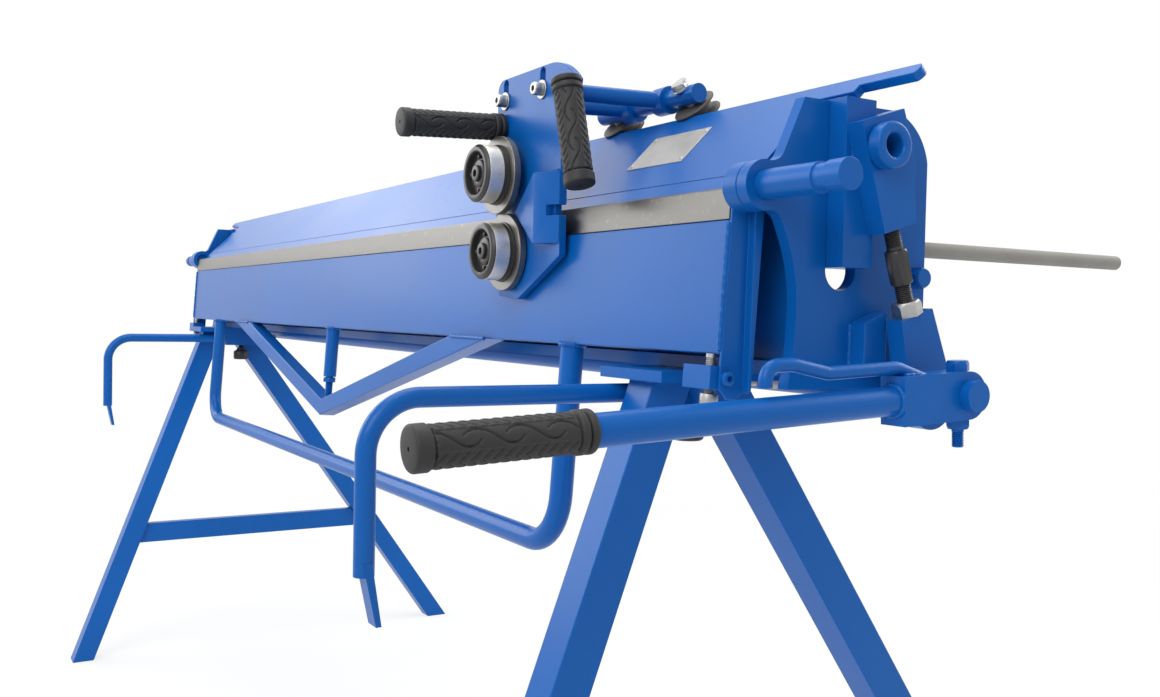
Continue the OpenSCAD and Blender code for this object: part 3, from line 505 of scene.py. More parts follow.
def turned(profile, start, direction, sides):
    """A closed turned solid: a ring drawn out through (radius, distance) pairs in millimetres."""
    (radius, place), *rest = [(r * MM, d * MM) for r, d in profile]
    foot = (0, 0, place)
    obj = in_place(added(bpy.ops.mesh.primitive_circle_add, vertices=sides, radius=radius,
                         fill_type="NGON", location=foot))
    with editing(obj):
        for r, d in rest:
            bpy.ops.mesh.extrude_region_move(TRANSFORM_OT_translate={"value": (0, 0, d - place)})
            grow = r / radius
            bpy.ops.transform.resize(value=(grow, grow, 1), center_override=foot)
            radius, place = r, d
    return face_outwards(aimed(obj, start, direction))


# Points this close become one, faces this flat are joined, and edges sharper than this are rounded
SAME_POINT = 0.000004
FLAT = radians(0.6)
SHARP = radians(28.0)


def softened(node, width, segments=2, finish="enamel"):
    """A copy of a CAD node with its sharp edges rounded, which stands for the node."""
    source = NODES[node]
    name = node + "_rounded"
    obj = bpy.data.objects.new(name, source.data.copy())
    bpy.context.scene.collection.objects.link(obj)
    with editing(obj):
        bpy.ops.mesh.customdata_custom_splitnormals_clear()
        bpy.ops.mesh.remove_doubles(threshold=SAME_POINT)
        bpy.ops.mesh.dissolve_limited(angle_limit=FLAT)
    bpy.ops.object.shade_smooth()
    bpy.ops.object.modifier_add(type="BEVEL")
    bevel = obj.modifiers[-1]
    bevel.width = width
    bevel.segments = segments
    bevel.limit_method = "ANGLE"
    bevel.angle_limit = SHARP
    bevel.harden_normals = True
    bevel.use_clamp_overlap = True
    bpy.ops.object.modifier_apply(modifier=bevel.name)
    give(obj, name, finish, body_of(source)[0], node)


# Screw threads in millimetres: outer radius, pitch and depth
SMALL_THREAD = (5, 1.5, 0.7)
MIDDLE_THREAD = (6, 1.75, 0.8)
LARGE_THREAD = (7, 1.75, 0.8)
KNOB_THREAD = (5, 1.5, 0.6)


def thread(size, start, length):
    """The (radius, distance) pairs of a screw thread in millimetres, drawn as close rings."""
    outer, pitch, depth = size
    pairs = []
    for i in range(int(length / pitch)):
        d = start + i * pitch
        pairs += [(outer - depth, d), (outer, d + pitch * 0.45), (outer, d + pitch * 0.55)]
    return pairs


def hexagon(across, height, start, direction, spin=0.0):
    """A hexagon head or nut, its sizes in millimetres, with chamfered corners."""
    flat = across / 2 * MM
    tall = height * MM
    head = in_place(added(bpy.ops.mesh.primitive_cylinder_add, vertices=6, radius=flat / cos(pi / 6),
                          depth=tall, location=(0, 0, tall / 2)))
    chamfer = added(bpy.ops.mesh.primitive_cone_add, vertices=48, radius1=flat * 1.02 + tall,
                    radius2=flat * 0.96, depth=tall * 1.8, location=(0, 0, tall * 0.1))
    return aimed(cut(head, chamfer, "INTERSECT"), start, direction, spin)


def socket_head(radius, height, start, direction, socket):
    """A cap screw head, its sizes in millimetres, with a six-sided socket and a rounded rim."""
    rim = ((0.97, 0), (1, 0.06), (1, 0.86), (0.95, 0.95), (0.86, 1))
    head = turned([(radius * r, height * d) for r, d in rim], start, direction, 36)
    tall = height * MM
    key = added(bpy.ops.mesh.primitive_cylinder_add, vertices=6, radius=socket * MM, depth=tall * 1.2)
    aimed(key, start + Vector(direction).normalized() * tall * 1.05, direction)
    return cut(head, key, "DIFFERENCE")


def rounded(points, bends):
    """A path through points whose corners are arcs of the given radii."""
    steps = 8
    path = [points[0]]
    for before, corner, after, bend in zip(points, points[1:], points[2:], bends):
        back, on = (before - corner).normalized(), (after - corner).normalized()
        half = back.angle(on) / 2
        centre = corner + (back + on).normalized() * bend / sin(half)
        first = (corner + back * bend / tan(half) - centre).normalized()
        last = (corner + on * bend / tan(half) - centre).normalized()
        path += [centre + first.slerp(last, i / steps) * bend for i in range(steps + 1)]
    return path + [points[-1]]


def bent_rod(path, radius):
    """A round rod along a path, with flat ends."""
    curve = bpy.data.curves.new("rod", "CURVE")
    curve.dimensions = "3D"
    curve.bevel_depth = radius
    curve.bevel_resolution = 8
    curve.use_fill_caps = True
    line = curve.splines.new("POLY")
    line.points.add(len(path) - 1)
    for point, place in zip(line.points, path):
        point.co = (*place, 1.0)
    obj = bpy.data.objects.new("rod", curve)
    bpy.context.scene.collection.objects.link(obj)
    only(obj)
    bpy.ops.object.convert(target="MESH")
    return face_outwards(bpy.context.object, merge=0.000002)


def bead(start, end, radius, ripples=None):
    """A straight run of weld, its radius in millimetres, with close ripples and tapered ends."""
    run = (end - start).length / MM
    count = ripples or max(6, int(run / (radius * 1.1)))
    taper = radius * 0.35
    pairs = [(taper, 0)]
    for i in range(count):
        d = run * (i + 0.5) / count
        wander = radius * (1.0 + 0.10 * sin(i * 2.4) + 0.06 * sin(i * 5.1))
        pairs += [(wander * 0.86, d - run * 0.28 / count), (wander, d + run * 0.2 / count)]
    pairs.append((taper, run))
    return turned(pairs, start, end - start, 10)


def ring_bead(centre, axis, ring, radius, ripples):
    """A weld run round a tube or an eye, its radii in millimetres."""
    obj = added(bpy.ops.mesh.primitive_torus_add, major_segments=ripples * 3, minor_segments=8,
                major_radius=ring * MM, minor_radius=radius * MM)
    for vertex in obj.data.vertices:
        turn = atan2(vertex.co.y, vertex.co.x)
        out = Vector((cos(turn), sin(turn), 0)) * ring * MM
        swell = 1.0 + 0.16 * sin(turn * ripples) + 0.08 * sin(turn * 7 + 1)
        vertex.co = out + (vertex.co - out) * swell
    return aimed(obj, centre, axis)


# Settings


def length(name, description, default):
    return bpy.props.FloatProperty(name=name, description=description, default=default, unit="LENGTH")


def tint(name, description, default):
    return bpy.props.FloatVectorProperty(
        name=name, description=description, default=default, subtype="COLOR")


class BrakeSizes(bpy.types.PropertyGroup):
    """Sizes of the dressing that a user may change."""

    plate_edge: length("Plate edges", "Rounding of the painted plates' edges", 0.0012)
    tube_edge: length("Square tube edges", "Rounding of the square tubes' edges", 0.0032)
    small_edge: length("Small edges", "Rounding of small fittings' edges", 0.0008)
    pin_edge: length("Pin edges", "Rounding of the pins' and the shaft's ends", 0.0016)
    ring_edge: length("Ring edges", "Rounding of the link pins' heads", 0.0042)
    blade_edge: length("Blade edges", "Rounding of the polished blades' edges", 0.0005)
    knife_edge: length("Knife edges", "Rounding of the roller knives' edges", 0.0007)
    relief: length("Grip relief", "Depth of the waves on the rubber grips", 0.0018)
    weld: length("Weld size", "Radius of the weld runs", 0.0028)


class BrakeColours(bpy.types.PropertyGroup):
    """Colours of the finishes."""

    enamel: tint("Enamel", "Colour of the blue enamel", (0.0018, 0.095, 0.372))
    ground_steel: tint("Ground steel", "Colour of the folding blade", (0.128, 0.125, 0.119))
    roller: tint("Rollers", "Colour of the cutter's polished collars", (0.82, 0.77, 0.68))
    zinc: tint("Zinc", "Colour of the plated fasteners", (0.46, 0.46, 0.45))
    rubber: tint("Rubber", "Colour of the grips", (0.0125, 0.0125, 0.0132))


def sizes():
    return bpy.context.scene.brake_sizes


# Operators


class BRAKE_OT_finishes(bpy.types.Operator):
    """Makes the finishes and gives every CAD node the one that its material slot names."""

    bl_idname = "brake.finishes"
    bl_label = "Finishes"

    by_slot = {
        "blue_paint": "enamel", "polished_steel": "ground", "zinc": "zinc", "dark_steel": "knife",
        "black_paint": "hardened", "grey_paint": "grey_rod", "aluminium_plate": "label",
        "rubber": "rubber", "black_plastic": "pulley",
    }

    def execute(self, context):
        make_finishes(context.scene.brake_colours)
        for row in frame["record"]["subparts"]:
            node = NODES[row["node"]]
            finish = FINISHES[self.by_slot[row["material_slot"]]]
            if not node.material_slots:
                node.data.materials.append(finish)
            for material_slot in node.material_slots:
                material_slot.material = finish
        return {"FINISHED"}


class BRAKE_OT_steelwork(bpy.types.Operator):
    """Rounds the edges of the painted plates, bars, tubes and pins."""

    bl_idname = "brake.steelwork"
    bl_label = "Painted steelwork"

    # The size that rounds them, the steps of the rounding and the nodes
    groups = (
        ("plate_edge", 2, (
            "lower_beam", "side_plate_right", "side_plate_left", "trestle_heads", "leg_crossbars",
            "upper_plate", "clamp_bar", "upper_stiffener", "end_tongues", "clamp_links", "fold_plate",
            "fold_arms", "yokes", "shaft_gussets", "rod_clamps",
        )),
        ("tube_edge", 3, ("front_legs", "rear_legs", "truss_brace", "arm_sleeves")),
        ("small_edge", 2, (
            "adjust_blocks", "lever_hub", "cutter_plate", "cutter_wedge", "guide_arms", "guide_bar",
            "hook_arm_right", "hook_arm_left", "lever_tube",
        )),
        ("pin_edge", 3, ("hinge_pins", "cross_shaft")),
        ("ring_edge", 4, ("link_pins",)),
    )

    def execute(self, context):
        for edge, segments, nodes in self.groups:
            for node in nodes:
                softened(node, getattr(sizes(), edge), segments)
        return {"FINISHED"}


class BRAKE_OT_blades(bpy.types.Operator):
    """Breaks the edges of the polished folding blade and of the table's blade."""

    bl_idname = "brake.blades"
    bl_label = "Polished blades"

    def execute(self, context):
        for node in ("fold_blade", "table_blade"):
            softened(node, sizes().blade_edge, 2, "ground")
        return {"FINISHED"}


class BRAKE_OT_grips(bpy.types.Operator):
    """Moulds the rubber grips: running waves between rows of slanted ribs, a cap and end rings."""

    bl_idname = "brake.grips"
    bl_label = "Rubber grips"

    # Steps of the mesh around and along a grip, then lengths in metres
    around = 168
    lengthwise = 210
    radius = 0.0155
    cap = 0.0125
    rings = 0.0140
    waist = 0.0007
    fade = 0.0018
    end_round = 0.0024
    # Half width and depth of the necks at the cap, before the end rings and between them
    necks = ((0.0016, 0.0024), (0.0013, 0.0018), (0.0015, 0.0024))
    # Thickness and depth of the insets that close the free end and the inner end
    free_insets = ((0.0085, 0.0), (0.0030, 0.0), (0.0002, -0.0020))
    inner_insets = ((0.0012, 0.0), (0.0004, -0.0005))
    # Smooth bands with wave grooves, and the ribs between them
    bands = 3
    band_half = 0.0086
    band_edge = 0.0012
    groove_half = 0.0013
    period = 0.0300
    rib_along = 0.0078
    rib_across = 0.0085
    row_gap = 0.0001
    row_edge = 0.0018
    # One groove in millimetres along and across the grip: from the last crest down and up again
    groove = (
        (-33, -2.5), (-30, -5.0), (-26, -6.6), (-22, -6.8), (-17, -5.2), (-12, -1.6), (-8, 2.0),
        (-4, 4.8), (0, 5.9), (4, 5.6), (7, 4.0), (9, 1.6),
    )
    groove_lead = 8

    def groove_gap(self, along, across):
        """Distance in metres to the nearest wave groove, from a place on the smooth band."""
        best = 1.0
        crest = (along // self.period) * self.period
        v = across / MM
        for shift in (0.0, self.period, 2 * self.period):
            u = (along - crest - shift) / MM + self.groove_lead
            for (ax, ay), (bx, by) in zip(self.groove, self.groove[1:]):
                dx, dy = bx - ax, by - ay
                t = max(0.0, min(1.0, ((u - ax) * dx + (v - ay) * dy) / (dx * dx + dy * dy)))
                gap = sqrt((u - ax - t * dx) ** 2 + (v - ay - t * dy) ** 2) * MM
                best = min(best, gap)
        return best

    def sunk(self, along, turn, depth):
        """How far the relief lies under the waist's radius."""
        step = 2 * pi / self.bands
        across = ((turn + step / 2) % step - step / 2) * self.radius
        outside = abs(across) - self.band_half
        if outside < 0:
            groove = max(0.0, 1.0 - self.groove_gap(along, across) / self.groove_half)
            return depth * (0.45 + 0.75 * groove) * min(1.0, 0.4 - outside / self.band_edge)
        rope = abs(sin(pi * (along / self.rib_along + abs(across) / self.rib_across)))
        row = abs(outside - self.row_gap) / self.row_edge
        return depth * (1.0 - 0.95 * sqrt(rope)) * min(1.0, row + 0.35)

    def section(self, d, turn, length, depth):
        """The grip's radius at a distance from its free end."""
        r = self.radius
        inner = length - self.rings
        if self.cap < d < inner:
            fade = min(1.0, (d - self.cap) / self.fade, (inner - d) / self.fade)
            r -= self.waist + self.sunk(d - self.cap, turn, depth) * fade
        for place, (half, drop) in zip((self.cap, inner, length - self.rings / 2), self.necks):
            r -= drop * max(0.0, 1.0 - abs(d - place) / half)
        edge = min(d, length - d)
        if edge < self.end_round:
            r -= self.end_round - sqrt(max(0.0, self.end_round ** 2 - (self.end_round - edge) ** 2))
        return r

    def close_end(self, obj, level, insets):
        """Fills one open end and insets the new face step by step."""
        only(obj)
        at_end = [abs(vertex.co.z - level) < 1e-6 for vertex in obj.data.vertices]
        for edge in obj.data.edges:
            edge.select = all(at_end[i] for i in edge.vertices)
        for vertex in obj.data.vertices:
            vertex.select = at_end[vertex.index]
        for face in obj.data.polygons:
            face.select = False
        bpy.ops.object.mode_set(mode="EDIT")
        bpy.ops.mesh.select_mode(type="EDGE")
        bpy.ops.mesh.edge_face_add()
        bpy.ops.mesh.select_mode(type="FACE")
        for thickness, depth in insets:
            bpy.ops.mesh.inset(thickness=thickness, depth=depth)
        bpy.ops.object.mode_set(mode="OBJECT")

    def make(self, free_end, inner_end, facing, name, body, node):
        """One grip, with the middle of a wave band turned to face a direction."""
        depth = sizes().relief
        way = inner_end - free_end
        length = way.length
        local = turn_to(way).inverted() @ Vector(facing)
        first = atan2(local.y, local.x)
        obj = added(bpy.ops.mesh.primitive_grid_add, x_subdivisions=self.around,
                    y_subdivisions=self.lengthwise, size=1)
        for vertex in obj.data.vertices:
            turn = (vertex.co.x + 0.5) * 2 * pi
            d = (vertex.co.y + 0.5) * length
            r = self.section(d, turn, length, depth)
            vertex.co = (cos(turn + first) * r, sin(turn + first) * r, d)
        face_outwards(obj, merge=0.00002)
        self.close_end(obj, 0.0, self.free_insets)
        self.close_end(obj, length, self.inner_insets)
        smooth(aimed(face_outwards(obj), free_end, way), 60.0)
        give(obj, name, "rubber", body, node)

    def execute(self, context):
        level_x = CUTTER_X + 15
        level_free = at(level_x, CUTTER_FACE - 123.8, 92.2)
        level_inner = at(level_x, CUTTER_FACE - 1.2, 98.5)
        top = at(CUTTER_X + 180, CUTTER_FACE - 18, 136)
        hang = Vector((32, 0, -111)).normalized()
        for free_end, inner_end, facing, name, body, node in (
            (on_lever(490, 0), on_lever(360, 0), (0.93, 0, 0.36),
             "lever_grip_rubber", "clamp_lever", "lever_grip"),
            (level_free, level_inner, (1, 0, -0.05), "level_grip_rubber", "cutter", "cutter_grips"),
            (top + hang * 0.126, top + hang * 0.014, (0.85, -0.5, 0),
             "hanging_grip_rubber", "cutter", "cutter_grips"),
        ):
            self.make(free_end, inner_end, facing, name, body, node)
        return {"FINISHED"}


class BRAKE_OT_lever_hook(bpy.types.Operator):
    """Bends the rod on top of the clamp lever: a tip turned down, a double bend and a foot in the hub."""

    bl_idname = "brake.lever_hook"
    bl_label = "Lever hook"

    # Places ahead of the shaft and over the lever's axis in millimetres, and the bends between them
    radius = 5.5
    route = ((208, 19), (208, 35.2), (181, 34.8), (146, 26.3), (72, 26.3), (40, 15))
    bends = (12, 25, 25, 25)

    def execute(self, context):
        path = rounded([on_lever(*place) for place in self.route], [bend * MM for bend in self.bends])
        obj = smooth(bent_rod(path, self.radius * MM), 40.0)
        give(obj, "lever_hook_bent", "enamel", "clamp_lever", "lever_hook")
        return {"FINISHED"}


class BRAKE_OT_rollers(bpy.types.Operator):
    """Turns a cutter roller's polished band and dark rings, and copies them to the other roller."""

    bl_idname = "brake.rollers"
    bl_label = "Cutting rollers"

    # Profiles in millimetres: radius over the collar's own, and distance from its front or its back
    bore = 10.1
    face_ring = (
        (-5, 8.0), (-0.9, 8.0), (-0.2, 4.3), (-0.1, 3.2), (-2.6, 0.3), (-3.4, 0.0), (-6.6, 0.0),
        (-7.8, 0.9), (-8.6, 7.2),
    )
    foot_ring = (
        (-2, 6.2), (0.25, 6.2), (0.35, 5.8), (0.35, 2.6), (1.4, 2.2), (1.6, 0.2), (-2, 0.2),
    )

    def rings(self, outer, depth):
        """The three rings: part, profile as radius and distance from the front, finish and slot."""
        band = [
            (self.bore, depth), (outer - 0.4, depth), (outer, depth - 0.4), (outer, 4.6),
            (outer - 0.5, 4.2), (outer - 4, 4.2), (self.bore, depth - 0.05),
        ]
        face = [(outer + r, d) for r, d in self.face_ring] + [(self.bore, 7.4), (self.bore, 7.95)]
        foot = [(outer + r, depth - d) for r, d in self.foot_ring]
        return (
            ("band", band, "roller", "polished_steel"),
            ("face", face, "hardened", "dark_steel"),
            ("foot", foot, "hardened", "dark_steel"),
        )

    def execute(self, context):
        low, high = corners("upper_collar")
        centre = middle("upper_collar")
        front = Vector((centre.x, low.y, centre.z))
        shift = middle("lower_collar") - centre
        for part, profile, finish, slot in self.rings((high.x - low.x) / 2 / MM, (high.y - low.y) / MM):
            upper = smooth(turned(profile, front, BACK, 96), 30.0)
            lower = copied(upper, shift)
            for side, obj in (("upper", upper), ("lower", lower)):
                collar = side + "_collar"
                give(obj, collar + "_" + part, finish, side + "_roller", collar)
        for side in ("upper", "lower"):
            softened(side + "_knife", sizes().knife_edge, 2, "knife")
        return {"FINISHED"}


class BRAKE_OT_roller_bolts(bpy.types.Operator):
    """Sets the dark shoulder bolts, with washers and studs, in the middle of the rollers."""

    bl_idname = "brake.roller_bolts"
    bl_label = "Roller bolts"

    # Sizes in millimetres; profiles are radius and distance
    seat_depth = 7
    washer = ((13.6, 0), (15, 0.4), (15, 2.2), (13.8, 3), (10, 3.2))
    stud = ((2.2, 0), (2.2, 2.6), (1.4, 3.1))
    stud_ring = 18.4
    studs = 4
    axle_start = 7.2
    axle = 9.9
    shoulder = 15.9
    play = 0.4

    def heads(self):
        """The washer, the head and the studs of the upper roller."""
        centre = middle("upper_collar")
        seat = Vector((centre.x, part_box("upper_collar")[0][1] + self.seat_depth * MM, centre.z))
        parts = [
            turned(self.washer, seat, AHEAD, 40),
            socket_head(9, 5.8, seat + AHEAD * MM, AHEAD, 4.6),
        ]
        for i in range(self.studs):
            turn = i * 2 * pi / self.studs
            out = Vector((cos(turn), 0, sin(turn))) * self.stud_ring * MM
            parts.append(turned(self.stud, seat + out, AHEAD, 14))
        return joined(parts)

    def shaft(self, side):
        """The bolt's body from inside the collar through the knife to the back of the cutter's plate."""
        hub = middle(side + "_collar")
        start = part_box(side + "_collar")[0][1] + self.axle_start * MM
        plate_front, plate_back = (corner[1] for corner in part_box("cutter_plate"))
        knife_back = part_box(side + "_knife")[1][1] + self.play * MM
        step, front, back = ((y - start) / MM for y in (knife_back, plate_front, plate_back))
        profile = [
            (self.axle, 0), (self.axle, step), (self.shoulder, step), (self.shoulder, front),
            (self.axle, front), (self.axle, back),
        ]
        return turned(profile, (hub.x, start, hub.z), BACK, 40)

    def execute(self, context):
        upper = self.heads()
        lower = copied(upper, middle("lower_collar") - middle("upper_collar"))
        obj = smooth(joined([upper, lower, self.shaft("upper"), self.shaft("lower")]), 34.0)
        give(obj, "roller_bolt_heads", "hardened", "cutter", "knife_axles")
        return {"FINISHED"}


class BRAKE_OT_pulleys(bpy.types.Operator):
    """Turns a guide pulley with rounded rims and its hexagon bolt with washers, and copies both."""

    bl_idname = "brake.pulleys"
    bl_label = "Guide pulleys"

    # Half of the pulley's profile in millimetres: radius and distance from its middle
    half = (
        (6.06, -9), (19.5, -9), (21.5, -8.6), (23.2, -7.9), (23.95, -6.9), (23.4, -5.5), (21.9, -4.85),
        (17.6, -4.8), (17.05, -4.2),
    )
    seam = (6.06, -8.95)

    def execute(self, context):
        way = OFF_SLOPE
        centre = middle("right_pulley")
        shift = middle("left_pulley") - centre
        profile = [*self.half, *((r, -d) for r, d in reversed(self.half)), self.seam]
        right = smooth(turned(profile, centre, way, 64), 40.0)
        left = copied(right, shift)
        for obj, side in ((right, "right"), (left, "left")):
            node = side + "_pulley"
            give(obj, node + "_turned", "pulley", "pulley_" + side, node)
        bolt = joined([
            turned([(6, -18), (6, 30.5)], centre, way, 32),
            hexagon(17, 7.4, centre - way * 10.6 * MM, -way),
            turned([(9.4, 0), (9.8, 0.3), (9.8, 1.4)], centre - way * 10.7 * MM, way, 32),
            turned([(9.8, 0), (9.8, 1.3), (9.4, 1.6)], centre + way * 29.2 * MM, way, 32),
            hexagon(17, 6.8, centre + way * 30.6 * MM, way, 0.3),
        ])
        bolts = smooth(joined([bolt, copied(bolt, shift)]), 34.0)
        give(bolts, "pulley_bolts", "zinc", "cutter_guide", "pulley_axles")
        return {"FINISHED"}


class BRAKE_OT_fasteners(bpy.types.Operator):
    """Makes the plated and painted bolts, nuts and screws, each once, and copies them to their places."""

    bl_idname = "brake.fasteners"
    bl_label = "Fasteners"

    def zinc(self, parts, name, body, node):
        """Joins the copies of a plated fastener, which then stand for their CAD node."""
        give(smooth(joined(parts), 38.0), name, "zinc", body, node)

    def painted(self, parts, name, body, node):
        """Joins the copies of a painted fastener, which then stand for their CAD node."""
        give(smooth(joined(parts), 38.0), name, "enamel", body, node)

    def cutter_bolts(self):
        low, high = corners("guide_arm_bolts")
        washer_r, washer_h = 10, 2
        seat = Vector((low.x + washer_r * MM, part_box("cutter_plate")[0][1], (low.z + high.z) / 2))
        head = seat + AHEAD * washer_h * MM
        washer = [(washer_r - 0.2, 0), (washer_r, 0.3), (washer_r, 1.7), (washer_r - 0.3, washer_h)]
        bolt = joined([
            turned(washer, seat, AHEAD, 36),
            socket_head(6.9, 9.9, head, AHEAD, 3.6),
            turned([(4, 0), (4, (high.y - head.y) / MM)], head, BACK, 24),
        ])
        other = copied(bolt, RIGHT * (high.x - low.x - 2 * washer_r * MM))
        self.zinc([bolt, other], "cutter_slot_bolts", "cutter", "guide_arm_bolts")

    def adjusting_screws(self):
        low, top = -184.5, -140.5
        run = top - low
        foot = on_fold_beam(HALF - 15, -6, low)
        shank = [(5, 9.5)] + thread(SMALL_THREAD, 10, run - 12) + [(5, run)]
        screw = [
            socket_head(7.9, 9.9, foot + FOLD_UP * 10 * MM, -FOLD_UP, 4),
            turned(shank, foot, FOLD_UP, 20),
        ]
        self.zinc(both_ends(screw), "adjusting_screws", "fold_beam", "adjust_screws")

    def block_screws(self):
        head = socket_head(6, 5.9, on_fold_beam(HALF + 3, -4, -160.5), RIGHT, 3)
        self.painted(both_ends([head]), "block_screw_heads", "fold_beam", "block_screws")

    def lever_bolt(self):
        tail = [(4.2, -44)] + thread(SMALL_THREAD, -43.6, 14) + [(5, -29)]
        parts = [
            turned([(5, -30), (5, 20)], SHAFT, LEVER_UP, 24),
            turned(tail, SHAFT, LEVER_UP, 20),
            hexagon(17, 8.6, on_lever(0, 20), LEVER_UP, 0.5),
            hexagon(17, 8.6, on_lever(0, -20), -LEVER_UP, 0.2),
        ]
        self.painted(parts, "lever_through_bolt", "clamp_lever", "pinch_bolt")

    def trestle_bolts(self):
        pitch = 38
        first = at(LEG_X, 100, -167)
        bolt = joined([
            turned([(6, 0), (6, 22)], first, UP, 24),
            hexagon(19, 7.8, first, DOWN, 0.4),
        ])
        pair = [bolt, copied(bolt, RIGHT * pitch * MM)]
        self.zinc(both_ends(pair), "trestle_bolt_heads", "frame", "trestle_bolts")

    def clamp_screws(self):
        seat = middle("rod_clamp_screws")
        seat.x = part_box("side_plate_right")[1][0]
        screw = [
            turned([(6, -33), (6, 0.5)], seat, RIGHT, 24),
            hexagon(16.8, 9.8, seat, RIGHT, 0.2),
        ]
        self.painted(both_ends(screw), "rod_clamp_screw_heads", "frame", "rod_clamp_screws")

    def camber_screw(self):
        low, high = -253.6, -198.5
        run = high - low
        foot = on_fold_beam(0, -5, low)
        shank = [(5.4, 0)] + thread(MIDDLE_THREAD, 0.4, run - 2) + [(5.6, run)]
        parts = [
            turned(shank, foot, FOLD_UP, 20),
            hexagon(18, 7.8, foot + FOLD_UP * (run - 29) * MM, FOLD_UP, 0.1),
        ]
        self.painted(parts, "camber_screw_threaded", "fold_beam", "camber_screw")

    def execute(self, context):
        self.cutter_bolts()
        self.adjusting_screws()
        self.block_screws()
        self.lever_bolt()
        self.trestle_bolts()
        self.clamp_screws()
        self.camber_screw()
        return {"FINISHED"}


class BRAKE_OT_tension_rods(bpy.types.Operator):
    """Makes the black adjusting rods of the clamp drive and their plated lock nuts."""

    bl_idname = "brake.tension_rods"
    bl_label = "Tension rods"

    # Places and sizes in millimetres, from the link pin down to the eccentric
    pin = (HALF + 61, 91, 35)
    throw = 9
    sleeve = ((6.8, 88), (8.6, 88.2), (9.4, 90), (9.4, 116), (8.6, 117.8), (6.8, 118))
    sleeve_middle = 103
    nut_place = 145.9

    def execute(self, context):
        offset = self.throw * cos(pi / 4)
        eccentric = at(self.pin[0], SHAFT_Y + (self.throw + offset) / 2, SHAFT_Z - offset)
        top = at(*self.pin)
        run = (eccentric - top).normalized()
        stem = [
            (6.4, 50), (6.8, 68), *thread(LARGE_THREAD, 70, 17), *self.sleeve,
            *thread(LARGE_THREAD, 119, 28), (7, 163),
        ]
        sleeve_at = top + run * self.sleeve_middle * MM
        rods = [
            turned(stem, top, run, 28),
            hexagon(18.2, 14.9, sleeve_at, run, 0.2),
            hexagon(18.2, 14.9, sleeve_at, -run, -0.2),
        ]
        rod = smooth(joined(both_ends(rods)), 40.0)
        give(rod, "tension_rods_threaded", "hardened", "upper_beam", "tension_rods")
        nut = hexagon(22.4, 12.8, top + run * self.nut_place * MM, -run, 0.35)
        nuts = smooth(joined(both_ends([nut])), 34.0)
        give(nuts, "rod_lock_nuts", "zinc", "upper_beam", "rod_nuts")
        return {"FINISHED"}


class BRAKE_OT_welds(bpy.types.Operator):
    """Lays the painted weld runs where plates, eyes and tubes meet."""

    bl_idname = "brake.welds"
    bl_label = "Weld runs"

    def frame_runs(self, r):
        """Legs under the trestle heads, gussets and beam on the side plates."""
        left, right, under_head = LEG_X - LEG_HALF, LEG_X + LEG_HALF, -168.5
        leg_faces = (-22, 17, 33, 83)
        inside, outside = HALF + 18.7, HALF + 31.3
        runs = [bead(at(left, y, under_head), at(right, y, under_head), r) for y in leg_faces]
        runs.append(bead(at(outside, 98, -112), at(outside, 98, -148), r * 0.9))
        runs.append(bead(at(inside, 52, -20), at(inside, 52, -140), r))
        return both_ends(runs)

    def fold_runs(self, r):
        """End arms, lift handle, brace and strut on the folding plate."""
        arm_side, plate_foot, tube_y = HALF - 0.4, -141, -5
        runs = [bead(on_fold_beam(arm_side, -10, -30), on_fold_beam(arm_side, -10, -138), r)]
        brace_start, brace_end, handle_x = 478, 572, HALF - 248
        for y in (-17.4, 7.4):
            start, end = (on_fold_beam(x, y, plate_foot) for x in (brace_start, brace_end))
            runs.append(bead(start, end, r * 0.8))
        runs.append(ring_bead(on_fold_beam(handle_x, tube_y, plate_foot), FOLD_UP, 12.2, r * 0.9, 26))
        strut = ring_bead(on_fold_beam(0, tube_y, plate_foot), FOLD_UP, 10.2, r * 0.8, 22)
        return both_ends(runs) + [strut]

    def clamp_runs(self, r):
        """The sloping plate on its clamp bar, and the links' edges."""
        link_side, bar_end, seam_y, seam_z = HALF + 51.2, HALF - 15, 28.7, 15.2
        runs = both_ends([bead(at(link_side, 76, 10), at(link_side, 76, 52), r * 0.8)])
        return runs + [bead(at(-bar_end, seam_y, seam_z), at(bar_end, seam_y, seam_z), r, 420)]

    def lever_runs(self, r):
        """The tube in its hub and the hook rod's foot on it."""
        hub_front, hub_top, rod_r = 76.2, 20.2, 5.5
        runs = [ring_bead(on_lever(hub_front, 0), LEVER_AHEAD, 12.2, r * 0.9, 26)]
        for x in (-rod_r, rod_r):
            runs.append(bead(on_lever(52, hub_top, x), on_lever(68, hub_top, x), r * 0.7))
        return runs

    def cutter_runs(self, r):
        """The wedge and the level handle on the cutter's plate."""
        face = CUTTER_FACE - 0.2
        low, bend, top = (at(CUTTER_X + x, face, z) for x, z in ((69, 11), (114, 38.2), (143, 38.2)))
        handle = ring_bead(at(CUTTER_X + 15, face - 0.2, 98.6), BACK, 11.2, r * 0.8, 24)
        return [bead(low, bend, r * 0.6), bead(bend, top, r * 0.6), handle]

    def execute(self, context):
        r = sizes().weld / MM
        for runs, name, body in (
            (self.frame_runs(r), "frame_welds", "frame"),
            (self.fold_runs(r), "fold_beam_welds", "fold_beam"),
            (self.clamp_runs(r), "clamp_beam_welds", "upper_beam"),
            (self.lever_runs(r), "lever_welds", "clamp_lever"),
            (self.cutter_runs(r), "cutter_welds", "cutter"),
        ):
            give(smooth(joined(runs), 70.0), name, "enamel", body)
        return {"FINISHED"}


